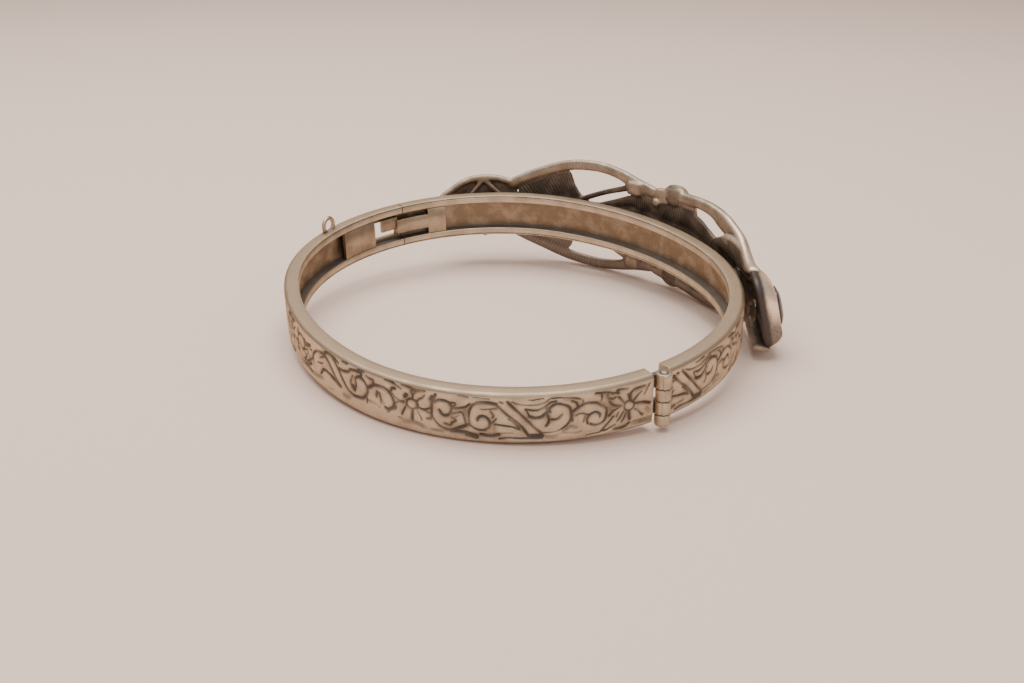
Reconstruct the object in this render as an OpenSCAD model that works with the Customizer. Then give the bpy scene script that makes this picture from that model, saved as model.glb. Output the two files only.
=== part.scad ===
// Hinged bangle: an oval channel band in two halves, hinged at one end of the
// oval and caught at the other, with a cast openwork leaf ornament and one
// cushion-cut stone on the front half. Millimetres, +Z up, lying on its side
// as it rests by itself: on the ornament's lower leaves and the far rim.
// The origin is the centre of the wrist opening, on the surface it lies on.

/* [Oval plan] */
// Radius of the oval's hinge end, at the band's outer face
hinge_end_r = 27.5; // [26:0.1:29]
// Radius of the oval's catch end, at the band's outer face
catch_end_r = 26.3; // [25:0.1:28]
// Distance between the centres of the two ends
ends_apart = 7.6; // [5:0.1:9]
// Radius of the oval's two long sides
side_r = 38; // [36:0.5:60]

/* [Band] */
// Height of the band
band_h = 6.15; // [5.5:0.05:7]
// Thickness of the sheet metal
sheet_t = 0.8; // [0.7:0.05:0.9]
// Thickness of the channel's two flanges
flange_t = 1.1; // [0.8:0.05:1.3]
// Depth of the channel's two flanges, from the outer face inward
flange_d = 1.95; // [1.8:0.05:2.4]
// Radius of the band's outer edges
edge_r = 0.35; // [0.2:0.05:0.45]
// Height of the plain rim above and below the scroll field
rim_h = 0.7; // [0.6:0.05:0.9]
// Depth of the scroll field below the rims
field_d = 0.2; // [0.1:0.05:0.3]

/* [Scroll relief] */
// Length of one repeat of the scroll pattern
repeat_l = 23.9; // [22:0.1:26]
// Width of the plain diagonal bar
bar_w = 0.8; // [0.6:0.1:1.2]
// Radius of the flower's boss
boss_r = 0.55; // [0.4:0.05:0.7]
// Number of petals round the boss
petals = 8; // [6:1:10]

/* [Hinge] */
// Radius of the hinge pin
pin_r = 0.4; // [0.3:0.05:0.5]
// Radius of the hinge barrel
knuckle_r = 0.9; // [0.85:0.05:1.1]
// Distance of the pin's axis outside the band's outer face
pin_out = 0.25; // [0.2:0.05:0.4]
// Distance of the pin's axis behind the oval's long axis
pin_back = 0.3; // [0:0.1:0.5]
// Distance of each half's end from the pin's axis
leaf_gap = 1.3; // [1.25:0.05:1.6]
// Running clearance round the pin
pin_fit = 0.03; // [0.02:0.01:0.08]

/* [Catch] */
// Direction of the joint between the halves, seen from the oval's catch end
joint_turn = 178.7; // [178:0.1:180]
// Gap between the two halves at the catch
joint_gap = 0.12; // [0.08:0.01:0.2]
// Thickness of the spring tongue
tongue_t = 0.45; // [0.3:0.05:0.5]
// Height of the spring tongue
tongue_h = 2.1; // [1.8:0.1:2.6]
// Radius of the wire of the safety chain's loop
loop_wire_r = 0.3; // [0.25:0.05:0.4]
// Radius of that loop, to the middle of its wire
loop_r = 1.05; // [0.9:0.05:1.3]

/* [Ornament] */
// Distance of the openwork's back from the band
work_back = 1.5; // [1.2:0.1:1.8]
// Distance of the rims' crests from the band
work_front = 2.9; // [2.6:0.1:3.2]
// Width of the openwork's rims
rim_w = 1.7; // [1.4:0.1:2]
// Height of the stone's setting at its foot
setting_h = 9.8; // [8:0.2:11]
// Width of the stone's setting at its foot
setting_w = 7.2; // [6:0.2:9]
// Height of the bezel's edge
edge_h = 6.6; // [5.5:0.1:8]
// Width of the bezel's edge
edge_w = 5.2; // [4:0.1:6]
// How far the bezel's edge lies below the middle of the foot
edge_drop = 0.7; // [0:0.1:1]
// Distance of the bezel's edge from the band
setting_front = 4.3; // [3.5:0.1:5]
// How far the setting's top tips in towards the wrist
setting_tilt = 13; // [0:1:15]
// Height of the stone
stone_h = 4.6; // [4:0.1:6]
// Width of the stone
stone_w = 3.7; // [3:0.1:4.5]
// How far the stone lies below the middle of the foot
stone_drop = 0.25; // [0:0.05:1]
// How far the stone stands above its bezel
stone_rise = 0.6; // [0.3:0.05:0.8]

/* [Resting] */
// Angle that the ornament tips the band to the surface
lean = 5.25; // [4:0.05:6]
// Direction that the tip's axis lies in
lean_axis = 38; // [20:1:45]

/* [Hidden] */
$fn = 64;

silver = "#b8a491";
dark_silver = "#9a8877";
onyx = "#1c1b1d";

mid_h = band_h / 2;
half_l = (hinge_end_r + catch_end_r + ends_apart) / 2;
far = 1000;

// The oval's plan: four arcs that meet without a corner. The long sides'
// centres lie where their distances to both end centres differ by the radii.
hinge_x = half_l - hinge_end_r;
catch_x = catch_end_r - half_l;
side_reach = side_r - catch_end_r;
side_dx = (side_reach ^ 2 - (side_r - hinge_end_r) ^ 2 + ends_apart ^ 2) / (2 * ends_apart);
side_x = catch_x + side_dx;
side_y = sqrt(side_reach ^ 2 - side_dx ^ 2);
hinge_turn = atan2(side_y, hinge_x - side_x);
catch_turn = atan2(side_y, catch_x - side_x);

// One row an arc: centre, radius, the turns of its outward direction, and
// whether it is one of the long sides
ARC_X = 0;
ARC_Y = 1;
ARC_R = 2;
ARC_FROM = 3;
ARC_TO = 4;
ARC_IS_SIDE = 5;
arcs = [
    [hinge_x, 0, hinge_end_r, 0, hinge_turn, false],
    [side_x, -side_y, side_r, hinge_turn, catch_turn, true],
    [catch_x, 0, catch_end_r, catch_turn, 360 - catch_turn, false],
    [side_x, side_y, side_r, 360 - catch_turn, 360 - hinge_turn, true],
    [hinge_x, 0, hinge_end_r, 360 - hinge_turn, 360, false]
];

// The long sides' section is a hair smaller than the ends', and laps into it,
// so that the arcs join in one solid
hair = 0.01;
side_lap = 0.2;

function arc_at(turn) = [for (a = arcs) if (turn >= a[ARC_FROM] && turn <= a[ARC_TO]) a][0];

// Point at an outward turn and a distance outside the band's outer face
function on_oval(turn, out = 0) =
    let (a = arc_at(turn))
    [a[ARC_X], a[ARC_Y]] + (a[ARC_R] + out) * [cos(turn), sin(turn)];

function arc_length(a) = a[ARC_R] * (a[ARC_TO] - a[ARC_FROM]) * PI / 180;

// Outward turn at a distance along the band's outer face from the hinge
function turn_at(along, i = 0) =
    along <= arc_length(arcs[i]) || i == len(arcs) - 1
        ? arcs[i][ARC_FROM] + along / arcs[i][ARC_R] * 180 / PI
        : turn_at(along - arc_length(arcs[i]), i + 1);

round_l = arc_length(arcs[0]) * 2 + arc_length(arcs[1]) * 2 + arc_length(arcs[2]);

// Ends of the halves
front_end = asin((leaf_gap - pin_back) / hinge_end_r);
back_end = 360 - asin((leaf_gap + pin_back) / hinge_end_r);
gap_turn = joint_gap / 2 / catch_end_r * 180 / PI;

// Hinge: the knuckles from the bottom up, the front half's first
pin_x = half_l + pin_out;
barrel_rise = 0.15;
knuckle_gap = 0.06;
knuckle_clear = 0.1;
knuckle_l = [1.37, 1.6, 1.45];
front_knuckles = [0, 2];
back_knuckles = [1, 3];
barrel_h = band_h + 2 * barrel_rise;
strap_t = 0.6;
strap_depth = 0.15;
strap_inset = 0.1;
pin_proud = 0.08;

function sum_to(list, n) = n <= 0 ? 0 : list[n - 1] + sum_to(list, n - 1);

function knuckle_z(i) = sum_to(knuckle_l, i) + i * knuckle_gap - barrel_rise;

function knuckle_len(i) = i < len(knuckle_l) ? knuckle_l[i] : barrel_h - barrel_rise - knuckle_z(i);

// How far the motifs are rooted in the field, and how far below the rims
// their faces lie
motif_root = 0.15;
motif_below_rim = 0.02;

// Turns between which the outer face carries the scroll field
back_field = [joint_turn + 1, 356.5];
front_fields = [[front_end, 44], [169, joint_turn - 1]];
back_flower = round_l - 4.5;
front_flower = 3.6 - repeat_l / 2;

// Catch
window_turns = [180.4, 189.3];
window_z = [1.55, 4.2];
tongue_turns = [163, 181];
saddle_turns = [163, 169.3];
tip_turns = [180.5, 186.1];
plate_turns = [190.1, 203.8];
plate_t = 0.4;
solder = 0.03;
tongue_out = -1.45;
tongue_z = 2.05;
tip_out = -1.1;
tip_z = 2.95;
tip_h = 1.65;
loop_turn = 208.2;
loop_in = 0.75;
loop_sunk = 0.35;

// Lies the whole object on its surface: the band tips about a level axis and
// rises until its lowest rim touches
tip = [cos(lean_axis), sin(lean_axis), 0];
rim_turn = 270 + lean_axis;
rim_reach = -(on_oval(rim_turn) * [-sin(lean_axis), cos(lean_axis)]);

module rest() {
    translate([0, 0, rim_reach * sin(lean)])
        rotate(a = lean, v = tip)
            children();
}

// Sweeps a section along the oval, between two turns. The section's x is the
// distance outside the band's outer face.
module along_oval(from, to) {
    for (a = arcs) {
        lap = a[ARC_IS_SIDE] ? side_lap : 0;
        start = max(from, a[ARC_FROM] - lap);
        end = min(to, a[ARC_TO] + lap);
        $inset = a[ARC_IS_SIDE] ? hair : 0;
        if (end > start + 2 * side_lap)
            translate([a[ARC_X], a[ARC_Y]])
                rotate_extrude(angle = end - start, start = start)
                    translate([a[ARC_R], 0])
                        children();
    }
}

module outer_outline() {
    translate([-flange_d + $inset, $inset])
        square([flange_d - edge_r - $inset, band_h - 2 * $inset]);
    translate([-flange_d + $inset, edge_r])
        square([flange_d - 2 * $inset, band_h - 2 * edge_r]);
    for (z = [edge_r, band_h - edge_r])
        translate([-edge_r, z])
            circle(edge_r - $inset);
}

module channel_section() {
    wall = sheet_t - $inset;
    flange = flange_t - $inset;
    difference() {
        outer_outline();
        translate([-flange_d - 1, flange])
            square([flange_d + 1 - wall, band_h - 2 * flange]);
    }
}

module field_section() {
    translate([-field_d + $inset, rim_h + $inset])
        square([1, band_h - 2 * (rim_h + $inset)]);
}

// Draws a flat motif on the outer face, its x along the band, its y up
module on_face(along) {
    turn = turn_at(along);
    p = on_oval(turn, -field_d - motif_root);
    translate([p[0], p[1], mid_h])
        rotate([90, 0, 90 + turn])
            linear_extrude(field_d + motif_root - motif_below_rim)
                children();
}

module sector(r, from, to) {
    step = (to - from) / 4;
    polygon(concat([[0, 0]], [for (i = [0:4]) r * [cos(from + i * step), sin(from + i * step)]]));
}

// A comma-shaped scroll: an open ring with a curled tip inside
module scroll(r, open_at, hand) {
    w = r * 0.36;
    mirror([hand > 0 ? 0 : 1, 0])
        rotate(open_at) {
            difference() {
                circle(r);
                circle(r - w);
                sector(2 * r, -50, 30);
            }
            translate([r * 0.12, -r * 0.1])
                circle(r * 0.3);
        }
}

module flower() {
    circle(boss_r);
    for (i = [0:petals - 1])
        rotate((i + 0.5) * 360 / petals)
            polygon([
                [boss_r + 0.15, -0.12], [boss_r + 0.8, -0.42], [1.95, 0],
                [boss_r + 0.8, 0.42], [boss_r + 0.15, 0.12]
            ]);
}

module bar() {
    rotate(-45)
        translate([-2.75, -bar_w / 2])
            square([5.5, bar_w]);
}

module leaf(l, w) {
    polygon([[-l / 2, 0], [-l / 5, w / 2], [l / 4, w / 3], [l / 2, 0], [l / 6, -w / 2], [-l / 4, -w / 3]]);
}

// One row a motif: its place along the repeat and up from mid height, its
// kind, its size, its opening's direction and its hand
AT = 0;
UP = 1;
KIND = 2;
SIZE = 3;
OPEN = 4;
HAND = 5;
motifs = [
    [0, 0.2, "flower", 1, 0, 1],
    [1.75, -1.75, "leaf", 1.5, -25, 1],
    [3.9, 0.2, "scroll", 1.8, 70, 1],
    [6, 1.5, "leaf", 1.9, 10, 1],
    [6.1, -1.5, "leaf", 1.6, 30, 1],
    [8.2, 0.2, "scroll", 1.8, 200, -1],
    [9.3, -1.75, "leaf", 2.6, -10, 1],
    [11.9, 0.1, "bar", 1, 0, 1],
    [13.7, 1.6, "leaf", 3, -8, 1],
    [13.3, -0.2, "leaf", 1.5, -45, 1],
    [15.9, -0.1, "scroll", 1.75, 150, 1],
    [18, 1.65, "leaf", 1.9, 5, 1],
    [18, -1.6, "leaf", 1.9, -15, 1],
    [20.1, -0.1, "scroll", 1.75, 260, -1],
    [22.3, 1.7, "leaf", 1.5, 25, 1]
];

module motif(row) {
    if (row[KIND] == "flower")
        flower();
    if (row[KIND] == "scroll")
        scroll(row[SIZE], row[OPEN], row[HAND]);
    if (row[KIND] == "bar")
        bar();
    if (row[KIND] == "leaf")
        rotate(row[OPEN])
            leaf(row[SIZE], row[SIZE] * 0.42);
}

// Raises the scroll pattern between two turns of the band
module scrollwork(flower_at, from, to) {
    motif_reach = 2.2;
    for (i = [-8:8], row = motifs) {
        along = flower_at + i * repeat_l + row[AT];
        reach = row[KIND] == "leaf" ? row[SIZE] / 2 : motif_reach;
        if (along > reach && along < round_l - reach)
            if (turn_at(along - reach) > from && turn_at(along + reach) < to)
                on_face(along)
                    translate([0, row[UP]])
                        motif(row);
    }
}

module knuckle(i, side) {
    z = knuckle_z(i);
    l = knuckle_len(i);
    translate([pin_x, -pin_back, z])
        cylinder(r = knuckle_r, h = l);
    // The strap from the half's end to the barrel
    strap_turns = side > 0
        ? [0, front_end + 1]
        : [back_end - 1, 360 - asin(pin_back / hinge_end_r)];
    strap_z = max(z, strap_inset);
    strap_top = min(z + l, band_h - strap_inset);
    translate([0, 0, strap_z])
        along_oval(strap_turns[0], strap_turns[1])
            translate([-strap_t - strap_depth, 0])
                square([strap_t, strap_top - strap_z]);
}

module pin_bore() {
    translate([pin_x, -pin_back, -barrel_rise - 1])
        cylinder(r = pin_r + pin_fit, h = barrel_h + 2);
}

// Clears the other half's knuckles from this half
module knuckle_room(i) {
    translate([pin_x, -pin_back, knuckle_z(i) - knuckle_gap])
        cylinder(r = knuckle_r + knuckle_clear, h = knuckle_len(i) + 2 * knuckle_gap);
}

module chain_loop() {
    p = on_oval(loop_turn, -loop_in);
    translate([p[0], p[1], band_h + loop_r - loop_sunk])
        rotate([90, 0, 90 + loop_turn])
            rotate_extrude()
                translate([loop_r, 0])
                    circle(loop_wire_r, $fn = 24);
}

module back_band() {
    color(silver)
        rest()
            difference() {
                union() {
                    difference() {
                        along_oval(joint_turn + gap_turn, back_end)
                            channel_section();
                        along_oval(back_field[0], back_field[1])
                            field_section();
                    }
                    scrollwork(back_flower, back_field[0], back_field[1] + 0.5);
                    for (i = back_knuckles)
                        knuckle(i, -1);
                    chain_loop();
                }
                pin_bore();
                for (i = front_knuckles)
                    knuckle_room(i);
                // The window over the spring tongue's end
                translate([0, 0, window_z[0]])
                    along_oval(window_turns[0], window_turns[1])
                        translate([-sheet_t - 0.2, 0])
                            square([sheet_t + 1, window_z[1] - window_z[0]]);
            }
}

module front_band() {
    color(silver)
        rest()
            difference() {
                union() {
                    difference() {
                        along_oval(front_end, joint_turn - gap_turn)
                            channel_section();
                        for (f = front_fields)
                            along_oval(f[0], f[1])
                                field_section();
                    }
                    for (f = front_fields)
                        scrollwork(front_flower, f[0], f[1]);
                    for (i = front_knuckles)
                        knuckle(i, 1);
                }
                pin_bore();
                for (i = back_knuckles)
                    knuckle_room(i);
            }
}

module hinge_pin() {
    color(dark_silver)
        rest()
            translate([pin_x, -pin_back, -barrel_rise - pin_proud])
                cylinder(r = pin_r, h = barrel_h + 2 * pin_proud);
}

// A plate across the channel, between the two flanges
module cross_plate(turns, t) {
    z = flange_t + solder;
    translate([0, 0, z])
        along_oval(turns[0], turns[1])
            translate([-flange_d + solder, 0])
                square([t, band_h - 2 * z]);
}

module catch_plate() {
    color(silver)
        rest()
            cross_plate(plate_turns, plate_t);
}

module spring_tongue() {
    color(silver)
        rest() {
            cross_plate(saddle_turns, tongue_out + flange_d - solder);
            translate([0, 0, tongue_z])
                along_oval(tongue_turns[0], tongue_turns[1])
                    translate([tongue_out - tongue_t, 0])
                        square([tongue_t, tongue_h]);
            // The tongue's narrow tip, set out towards the window
            translate([0, 0, tip_z])
                along_oval(tip_turns[0], tip_turns[1])
                    translate([tip_out - tongue_t, 0])
                        square([tongue_t, tip_h]);
        }
}

// The openwork's lines, for its upper half: one row a place, its outward
// turn, its height above mid height, its width there, and how far the upper
// one is set in
TURN = 0;
HEIGHT = 1;
WIDTH = 2;
SET_IN = 3;
low_fan = 0.9;
lobe_rim = [
    [140, 3.7, rim_w], [135, 4.9, rim_w], [130, 5.9, rim_w], [125, 6.8, rim_w], [120, 7.35, rim_w],
    [114, 7.6, rim_w], [109, 7.1, rim_w], [105, 6.2, rim_w + 0.4], [101, 5.8, rim_w]
];
end_rim = [
    [99, 5.9, rim_w], [95, 6.3, rim_w], [91, 6.5, rim_w], [87, 6.7, rim_w], [83, 6.5, rim_w + 0.3],
    [80, 5.9, rim_w + 1], [76, 5.2, rim_w + 1.1, 0.1], [72, 4.6, rim_w + 1, 0.4], [68, 4, rim_w + 0.9, 0.8],
    [64, 3.8, rim_w + 0.6, 1.1], [60, 3.9, rim_w, 1.2], [56, 4.4, 1, 1]
];
fan_rim = [[139, 3.6, 1.1], [142, 4.1, 1], [145, 4.5, 1], [149, 4.6, 1], [153, 4.4, 1], [156, 3.8, 1],
    [159, 2.9, 1], [161.5, 2.1, 1], [163.5, 1.1, 1], [164.3, 0, 1]];
low_fan_rim = [for (row = fan_rim) [row[TURN], row[HEIGHT] * low_fan, row[WIDTH]]];
fan_struts = [
    [[149, 4.4, 0.8], [152, 2.7, 0.8], [154.5, 1, 0.8]],
    [[149, 4.4, 0.8], [145, 2.5, 0.8], [142, 1, 0.8]]
];
lobe_stem = [[119, 1.8, 0.9], [116, 2.9, 0.85], [112, 4.1, 0.85], [107, 5.4, 1]];
lobe_root = [[114, 1.5, 1.2], [110, 2.6, 1.3], [106, 3.6, 1.8], [103, 4.2, 2], [99, 3.9, 2.4]];
end_root = [
    [99, 3.4, 2.9], [94, 3.7, 3], [89, 3.6, 2.8], [86, 2.9, 2.5],
    [83, 2.2, 2.2], [80, 1.6, 2.4], [74, 1.7, 2.6]
];
low_ribbon = [[60, 3.9, rim_w], [56, 4.5, 1.3], [52, 4.6, 1.1], [48.5, 4.5, 0.9]];
spine = [[146, 0, 3.6], [138, 0, 4.4], [128, 0, 4.6], [118, 0, 4.4], [112, 0, 5], [106, 0, 6.2],
    [98, 0, 6.4], [90, 0, 6], [84, 0, 4.6], [76, 0, 4.2], [68, 0, 4.2], [62, 0, 4]];
leaf_rows = [[[139, 3.6, 1], [137, 1, 1]], [[135, 4.9, 1], [133, 1, 1]], [[130, 5.9, 1], [128.5, 1, 1]],
    [[125.5, 6.4, 1], [124, 1, 1]], [[123.5, 5.2, 1], [120.5, 1.5, 1]]];
shoulder_rows = [[[72, 4.4, 1], [71, 1.5, 1]], [[67, 4, 1], [66, 1.4, 1]], [[61, 3.9, 1], [61, 1.4, 1]]];

// A bevelled boss that stands out from the band
module boss(row, back, front, side = 1, bevel = 0.6) {
    set_in = len(row) > SET_IN && side > 0 ? row[SET_IN] : 0;
    p = on_oval(row[TURN], back - set_in);
    translate([p[0], p[1], mid_h + side * row[HEIGHT]])
        rotate([0, 90, row[TURN]])
            cylinder(h = front - back, d1 = row[WIDTH], d2 = row[WIDTH] * bevel, $fn = 12);
}

// A bevelled strip along rows of turn, height and width
module strip(path, back, front, side = 1) {
    for (i = [0:len(path) - 2])
        hull() {
            boss(path[i], back, front, side);
            boss(path[i + 1], back, front, side);
        }
}

// A thin web between pairs of places
module web(rows, back, front, side) {
    for (i = [0:len(rows) - 2])
        hull()
            for (row = [rows[i][0], rows[i][1], rows[i + 1][0], rows[i + 1][1]])
                boss(row, back, front, side, 0.9);
}

setting_turn = 54.3;
setting_back = 1.8;
setting_mid = (setting_back + setting_front) / 2;

// The outline of a cushion with twice-cut corners
module cushion(w, h, cut) {
    near = cut * 0.42;
    quarter = [
        [w / 2, h / 2 - cut], [w / 2 - near / 2, h / 2 - near],
        [w / 2 - near, h / 2 - near / 2], [w / 2 - cut, h / 2]
    ];
    turned = [for (i = [3:-1:0]) quarter[i]];
    polygon(concat(
        quarter,
        [for (q = turned) [-q[0], q[1]]],
        [for (q = quarter) [-q[0], -q[1]]],
        [for (q = turned) [q[0], -q[1]]]
    ));
}

function mean(a, b, share) = a * (1 - share) + b * share;

// The setting's own place: x along the band, y up, z out
module at_setting(out) {
    p = on_oval(setting_turn, setting_mid);
    translate([p[0], p[1], mid_h])
        rotate([90, 0, 90 + setting_turn])
            rotate([-setting_tilt, 0, 0])
                translate([0, 0, out - setting_mid])
                    children();
}

foot_cut = 2.2;
edge_cut = 1.6;
stone_cut = 1.2;
stone_floor = 2.8;
stone_slot = 0.05;
table_inset = 0.6;
girdle_rise = 0.25;

module bezel() {
    difference() {
        at_setting(0)
            hull() {
                translate([0, 0, setting_back])
                    linear_extrude(0.6)
                        cushion(setting_w, setting_h, foot_cut);
                translate([0, -edge_drop * 0.5, setting_front - 0.9])
                    linear_extrude(0.1)
                        cushion(mean(setting_w, edge_w, 0.4), mean(setting_h, edge_h, 0.4), foot_cut);
                translate([0, -edge_drop, setting_front - 0.1])
                    linear_extrude(0.1)
                        cushion(edge_w, edge_h, edge_cut);
            }
        at_setting(stone_floor)
            translate([0, -stone_drop])
                linear_extrude(far)
                    cushion(stone_w + 2 * stone_slot, stone_h + 2 * stone_slot, stone_cut);
    }
}

pad_places = [[138, 0, 3], [113, 0, 3], [92, 0, 3], [70, 0, 3]];

module ornament() {
    color(silver)
        rest() {
            for (side = [1, -1]) {
                strip(lobe_rim, work_back, work_front, side);
                strip(end_rim, work_back, work_front + 0.2, side);
                strip(side > 0 ? fan_rim : low_fan_rim, work_back, work_front - 0.3, side);
                for (s = fan_struts)
                    strip(s, work_back, work_back + 0.9, side);
                strip(lobe_stem, work_back + 0.1, work_back + 0.9, side);
                strip(lobe_root, work_back + 0.1, work_front - 0.2, side);
                strip(end_root, work_back + 0.1, work_front - 0.2, side);
                web(leaf_rows, work_back + 0.4, work_back + 1, side);
                web(shoulder_rows, work_back + 0.2, work_back + 0.8, side);
                boss([105, 5.7, 2.6], work_back - 0.5, work_front + 0.4, side, 0.8);
                boss([95, side > 0 ? 6.3 : 6.1, 3], work_back, work_front + 1, side, 0.55);
                boss([99.3, 4.5, 1.1], work_back - 0.2, work_front, side, 0.7);
            }
            strip(low_ribbon, work_back - 0.2, work_front + 0.8, -1);
            strip(spine, work_back, work_front + 0.4);
            web([for (row = fan_rim) [row, [row[TURN], -row[HEIGHT] * low_fan, row[WIDTH]]]],
                work_back + 0.7, work_back + 1.2, 1);
            for (row = pad_places)
                boss(row, solder, work_back + 0.2, 1, 1);
            bezel();
        }
}

// Cushion-cut: a girdle, a crown of sixteen facets and a flat table
module stone() {
    color(onyx)
        rest()
            at_setting(0)
                hull() {
                    translate([0, -stone_drop, stone_floor + solder])
                        linear_extrude(setting_front + girdle_rise - stone_floor - solder)
                            cushion(stone_w, stone_h, stone_cut);
                    translate([0, -stone_drop, stone_floor + solder])
                        linear_extrude(setting_front + stone_rise - stone_floor - solder)
                            cushion(stone_w - 2 * table_inset, stone_h - 2 * table_inset, stone_cut);
                }
}

back_band();
front_band();
hinge_pin();
catch_plate();
spring_tongue();
ornament();
stone();
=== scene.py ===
"""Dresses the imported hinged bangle.

The bangle is an oval channel band in two silver halves with a scroll frieze, a cast
openwork leaf ornament and one cushion-cut black stone. Lengths here are millimetres in
the band's own frame: its lower rim lies at z = 0, the hinge at +X and the ornament on
the +Y side. `Resting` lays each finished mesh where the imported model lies, in metres.
"""

from __future__ import annotations

import logging
import math
from collections.abc import Sequence
from dataclasses import dataclass, field
from enum import Enum

import bmesh
import bpy
import numpy as np
from mathutils import Matrix, Vector

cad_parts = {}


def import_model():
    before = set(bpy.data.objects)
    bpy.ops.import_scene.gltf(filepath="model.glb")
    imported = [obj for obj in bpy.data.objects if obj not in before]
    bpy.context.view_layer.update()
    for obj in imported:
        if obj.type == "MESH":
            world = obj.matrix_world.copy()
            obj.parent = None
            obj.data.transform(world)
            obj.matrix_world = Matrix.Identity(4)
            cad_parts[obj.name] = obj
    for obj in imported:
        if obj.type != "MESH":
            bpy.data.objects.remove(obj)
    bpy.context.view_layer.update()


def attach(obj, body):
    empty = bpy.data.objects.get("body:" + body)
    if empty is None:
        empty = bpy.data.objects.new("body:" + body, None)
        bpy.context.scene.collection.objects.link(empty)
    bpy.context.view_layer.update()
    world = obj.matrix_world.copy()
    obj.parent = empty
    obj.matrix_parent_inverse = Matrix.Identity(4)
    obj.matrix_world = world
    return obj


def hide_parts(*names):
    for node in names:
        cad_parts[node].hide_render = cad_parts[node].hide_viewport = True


LOG = logging.getLogger("bangle")
METRES = 0.001
BAND_H = 6.15
MID_H = BAND_H / 2
HINGE_END_R = 27.5
MM_A_DEGREE = math.pi / 180 * 31
SHARP_ANGLE = math.radians(50)
Colour = tuple[float, float, float, float]
Row = tuple[float, ...]
Reach = tuple[np.ndarray, float]
Materials = Sequence[bpy.types.Material]


class Body(Enum):
    """The rigid bodies that pieces ride on."""

    BACK = "back_half"
    FRONT = "front_half"


class Slot(Enum):
    """The record's material slots."""

    SHEET = "silver"
    CAST = "cast_silver"
    STONE = "onyx"


class Oval:
    """The band's plan: four arcs that meet without a corner."""

    def __init__(
        self,
        hinge_end_r: float = HINGE_END_R,
        catch_end_r: float = 26.3,
        ends_apart: float = 7.6,
        side_r: float = 38.0,
    ) -> None:
        """Works out the arcs' centres and the turns at which they meet.

        Args:
            hinge_end_r: radius of the hinge end at the outer face.
            catch_end_r: radius of the catch end at the outer face.
            ends_apart: distance between the two ends' centres.
            side_r: radius of the long sides.
        """
        self.half_length = (hinge_end_r + catch_end_r + ends_apart) / 2
        hinge_x = self.half_length - hinge_end_r
        catch_x = catch_end_r - self.half_length
        reach = side_r - catch_end_r
        dx = (reach**2 - (side_r - hinge_end_r) ** 2 + ends_apart**2) / (2 * ends_apart)
        side_x = catch_x + dx
        side_y = math.sqrt(reach**2 - dx**2)
        hinge_turn = math.degrees(math.atan2(side_y, hinge_x - side_x))
        catch_turn = math.degrees(math.atan2(side_y, catch_x - side_x))
        self.centres = np.array(
            [(hinge_x, 0), (side_x, -side_y), (catch_x, 0), (side_x, side_y), (hinge_x, 0)]
        )
        self.radii = np.array([hinge_end_r, side_r, catch_end_r, side_r, hinge_end_r])
        self.turns = np.array([0, hinge_turn, catch_turn, 360 - catch_turn, 360 - hinge_turn, 360])
        steps = self.radii * np.radians(np.diff(self.turns))
        self.lengths = np.concatenate([[0], np.cumsum(steps)])

    @property
    def round_length(self) -> float:
        """The length once round the outer face."""
        return float(self.lengths[-1])

    def turn_at(self, along: np.ndarray | float) -> np.ndarray:
        """The outward turn, in degrees, at a distance along the outer face from the hinge."""
        return np.interp(along, self.lengths, self.turns)

    def along_at(self, turn: np.ndarray | float) -> np.ndarray:
        """The distance along the outer face at an outward turn."""
        return np.interp(turn, self.turns, self.lengths)

    def point(self, turn: np.ndarray | float, out: np.ndarray | float = 0.0) -> np.ndarray:
        """Points in plan.

        Args:
            turn: outward turns in degrees.
            out: distances outside the band's outer face.

        Returns:
            An array of x and y, one row a turn.
        """
        turn = np.atleast_1d(np.asarray(turn, float))
        index = np.clip(np.searchsorted(self.turns[1:-1], turn), 0, 4)
        angle = np.radians(turn)
        radius = self.radii[index] + out
        return self.centres[index] + np.stack([radius * np.cos(angle), radius * np.sin(angle)], -1)


@dataclass(frozen=True)
class Resting:
    """How the band lies: tipped about a level axis until two of its low places touch."""

    lean: float = 5.25
    axis: float = 38.0

    def lift(self, oval: Oval) -> float:
        """How far the tipped band rises so that its lowest rim touches the surface.

        Args:
            oval: the band's plan.

        Returns:
            The rise in millimetres.
        """
        rim = oval.point(270 + self.axis)[0]
        side = np.array([-math.sin(math.radians(self.axis)), math.cos(math.radians(self.axis))])
        return -float(rim @ side) * math.sin(math.radians(self.lean))

    def matrix(self, oval: Oval) -> Matrix:
        """The band's own frame in the model's frame, in millimetres.

        Args:
            oval: the band's plan.

        Returns:
            The matrix that tips and lifts the band.
        """
        a = math.radians(self.axis)
        tip = Matrix.Rotation(math.radians(self.lean), 4, Vector((math.cos(a), math.sin(a), 0)))
        return Matrix.Translation((0, 0, self.lift(oval))) @ tip


OVAL = Oval()
REST = Resting()
LAY = REST.matrix(OVAL)


def smooth_path(points: Sequence[Row], step: float) -> np.ndarray:
    """Runs a smooth curve through points of any number of columns.

    Args:
        points: the places, the first two or three columns of which are lengths.
        step: about how far apart the curve's own points are.

    Returns:
        The curve's points, one row each.
    """
    p = np.asarray(points, float)
    if len(p) < 3:
        count = max(2, int(np.linalg.norm(p[-1, :2] - p[0, :2]) / step) + 1)
        t = np.linspace(0, 1, count)[:, None]
        return p[0] * (1 - t) + p[-1] * t
    ends = np.vstack([2 * p[0] - p[1], p, 2 * p[-1] - p[-2]])
    rows = []
    for i in range(len(p) - 1):
        a, b, c, d = ends[i : i + 4]
        count = max(2, int(np.linalg.norm((c - b)[:2]) / step) + 1)
        t = np.linspace(0, 1, count, endpoint=False)[:, None]
        straight = 2 * b + (c - a) * t
        bend = (2 * a - 5 * b + 4 * c - d) * t**2
        rows.append(0.5 * (straight + bend + (3 * b - a - 3 * c + d) * t**3))
    return np.vstack([*rows, p[-1:]])


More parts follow.
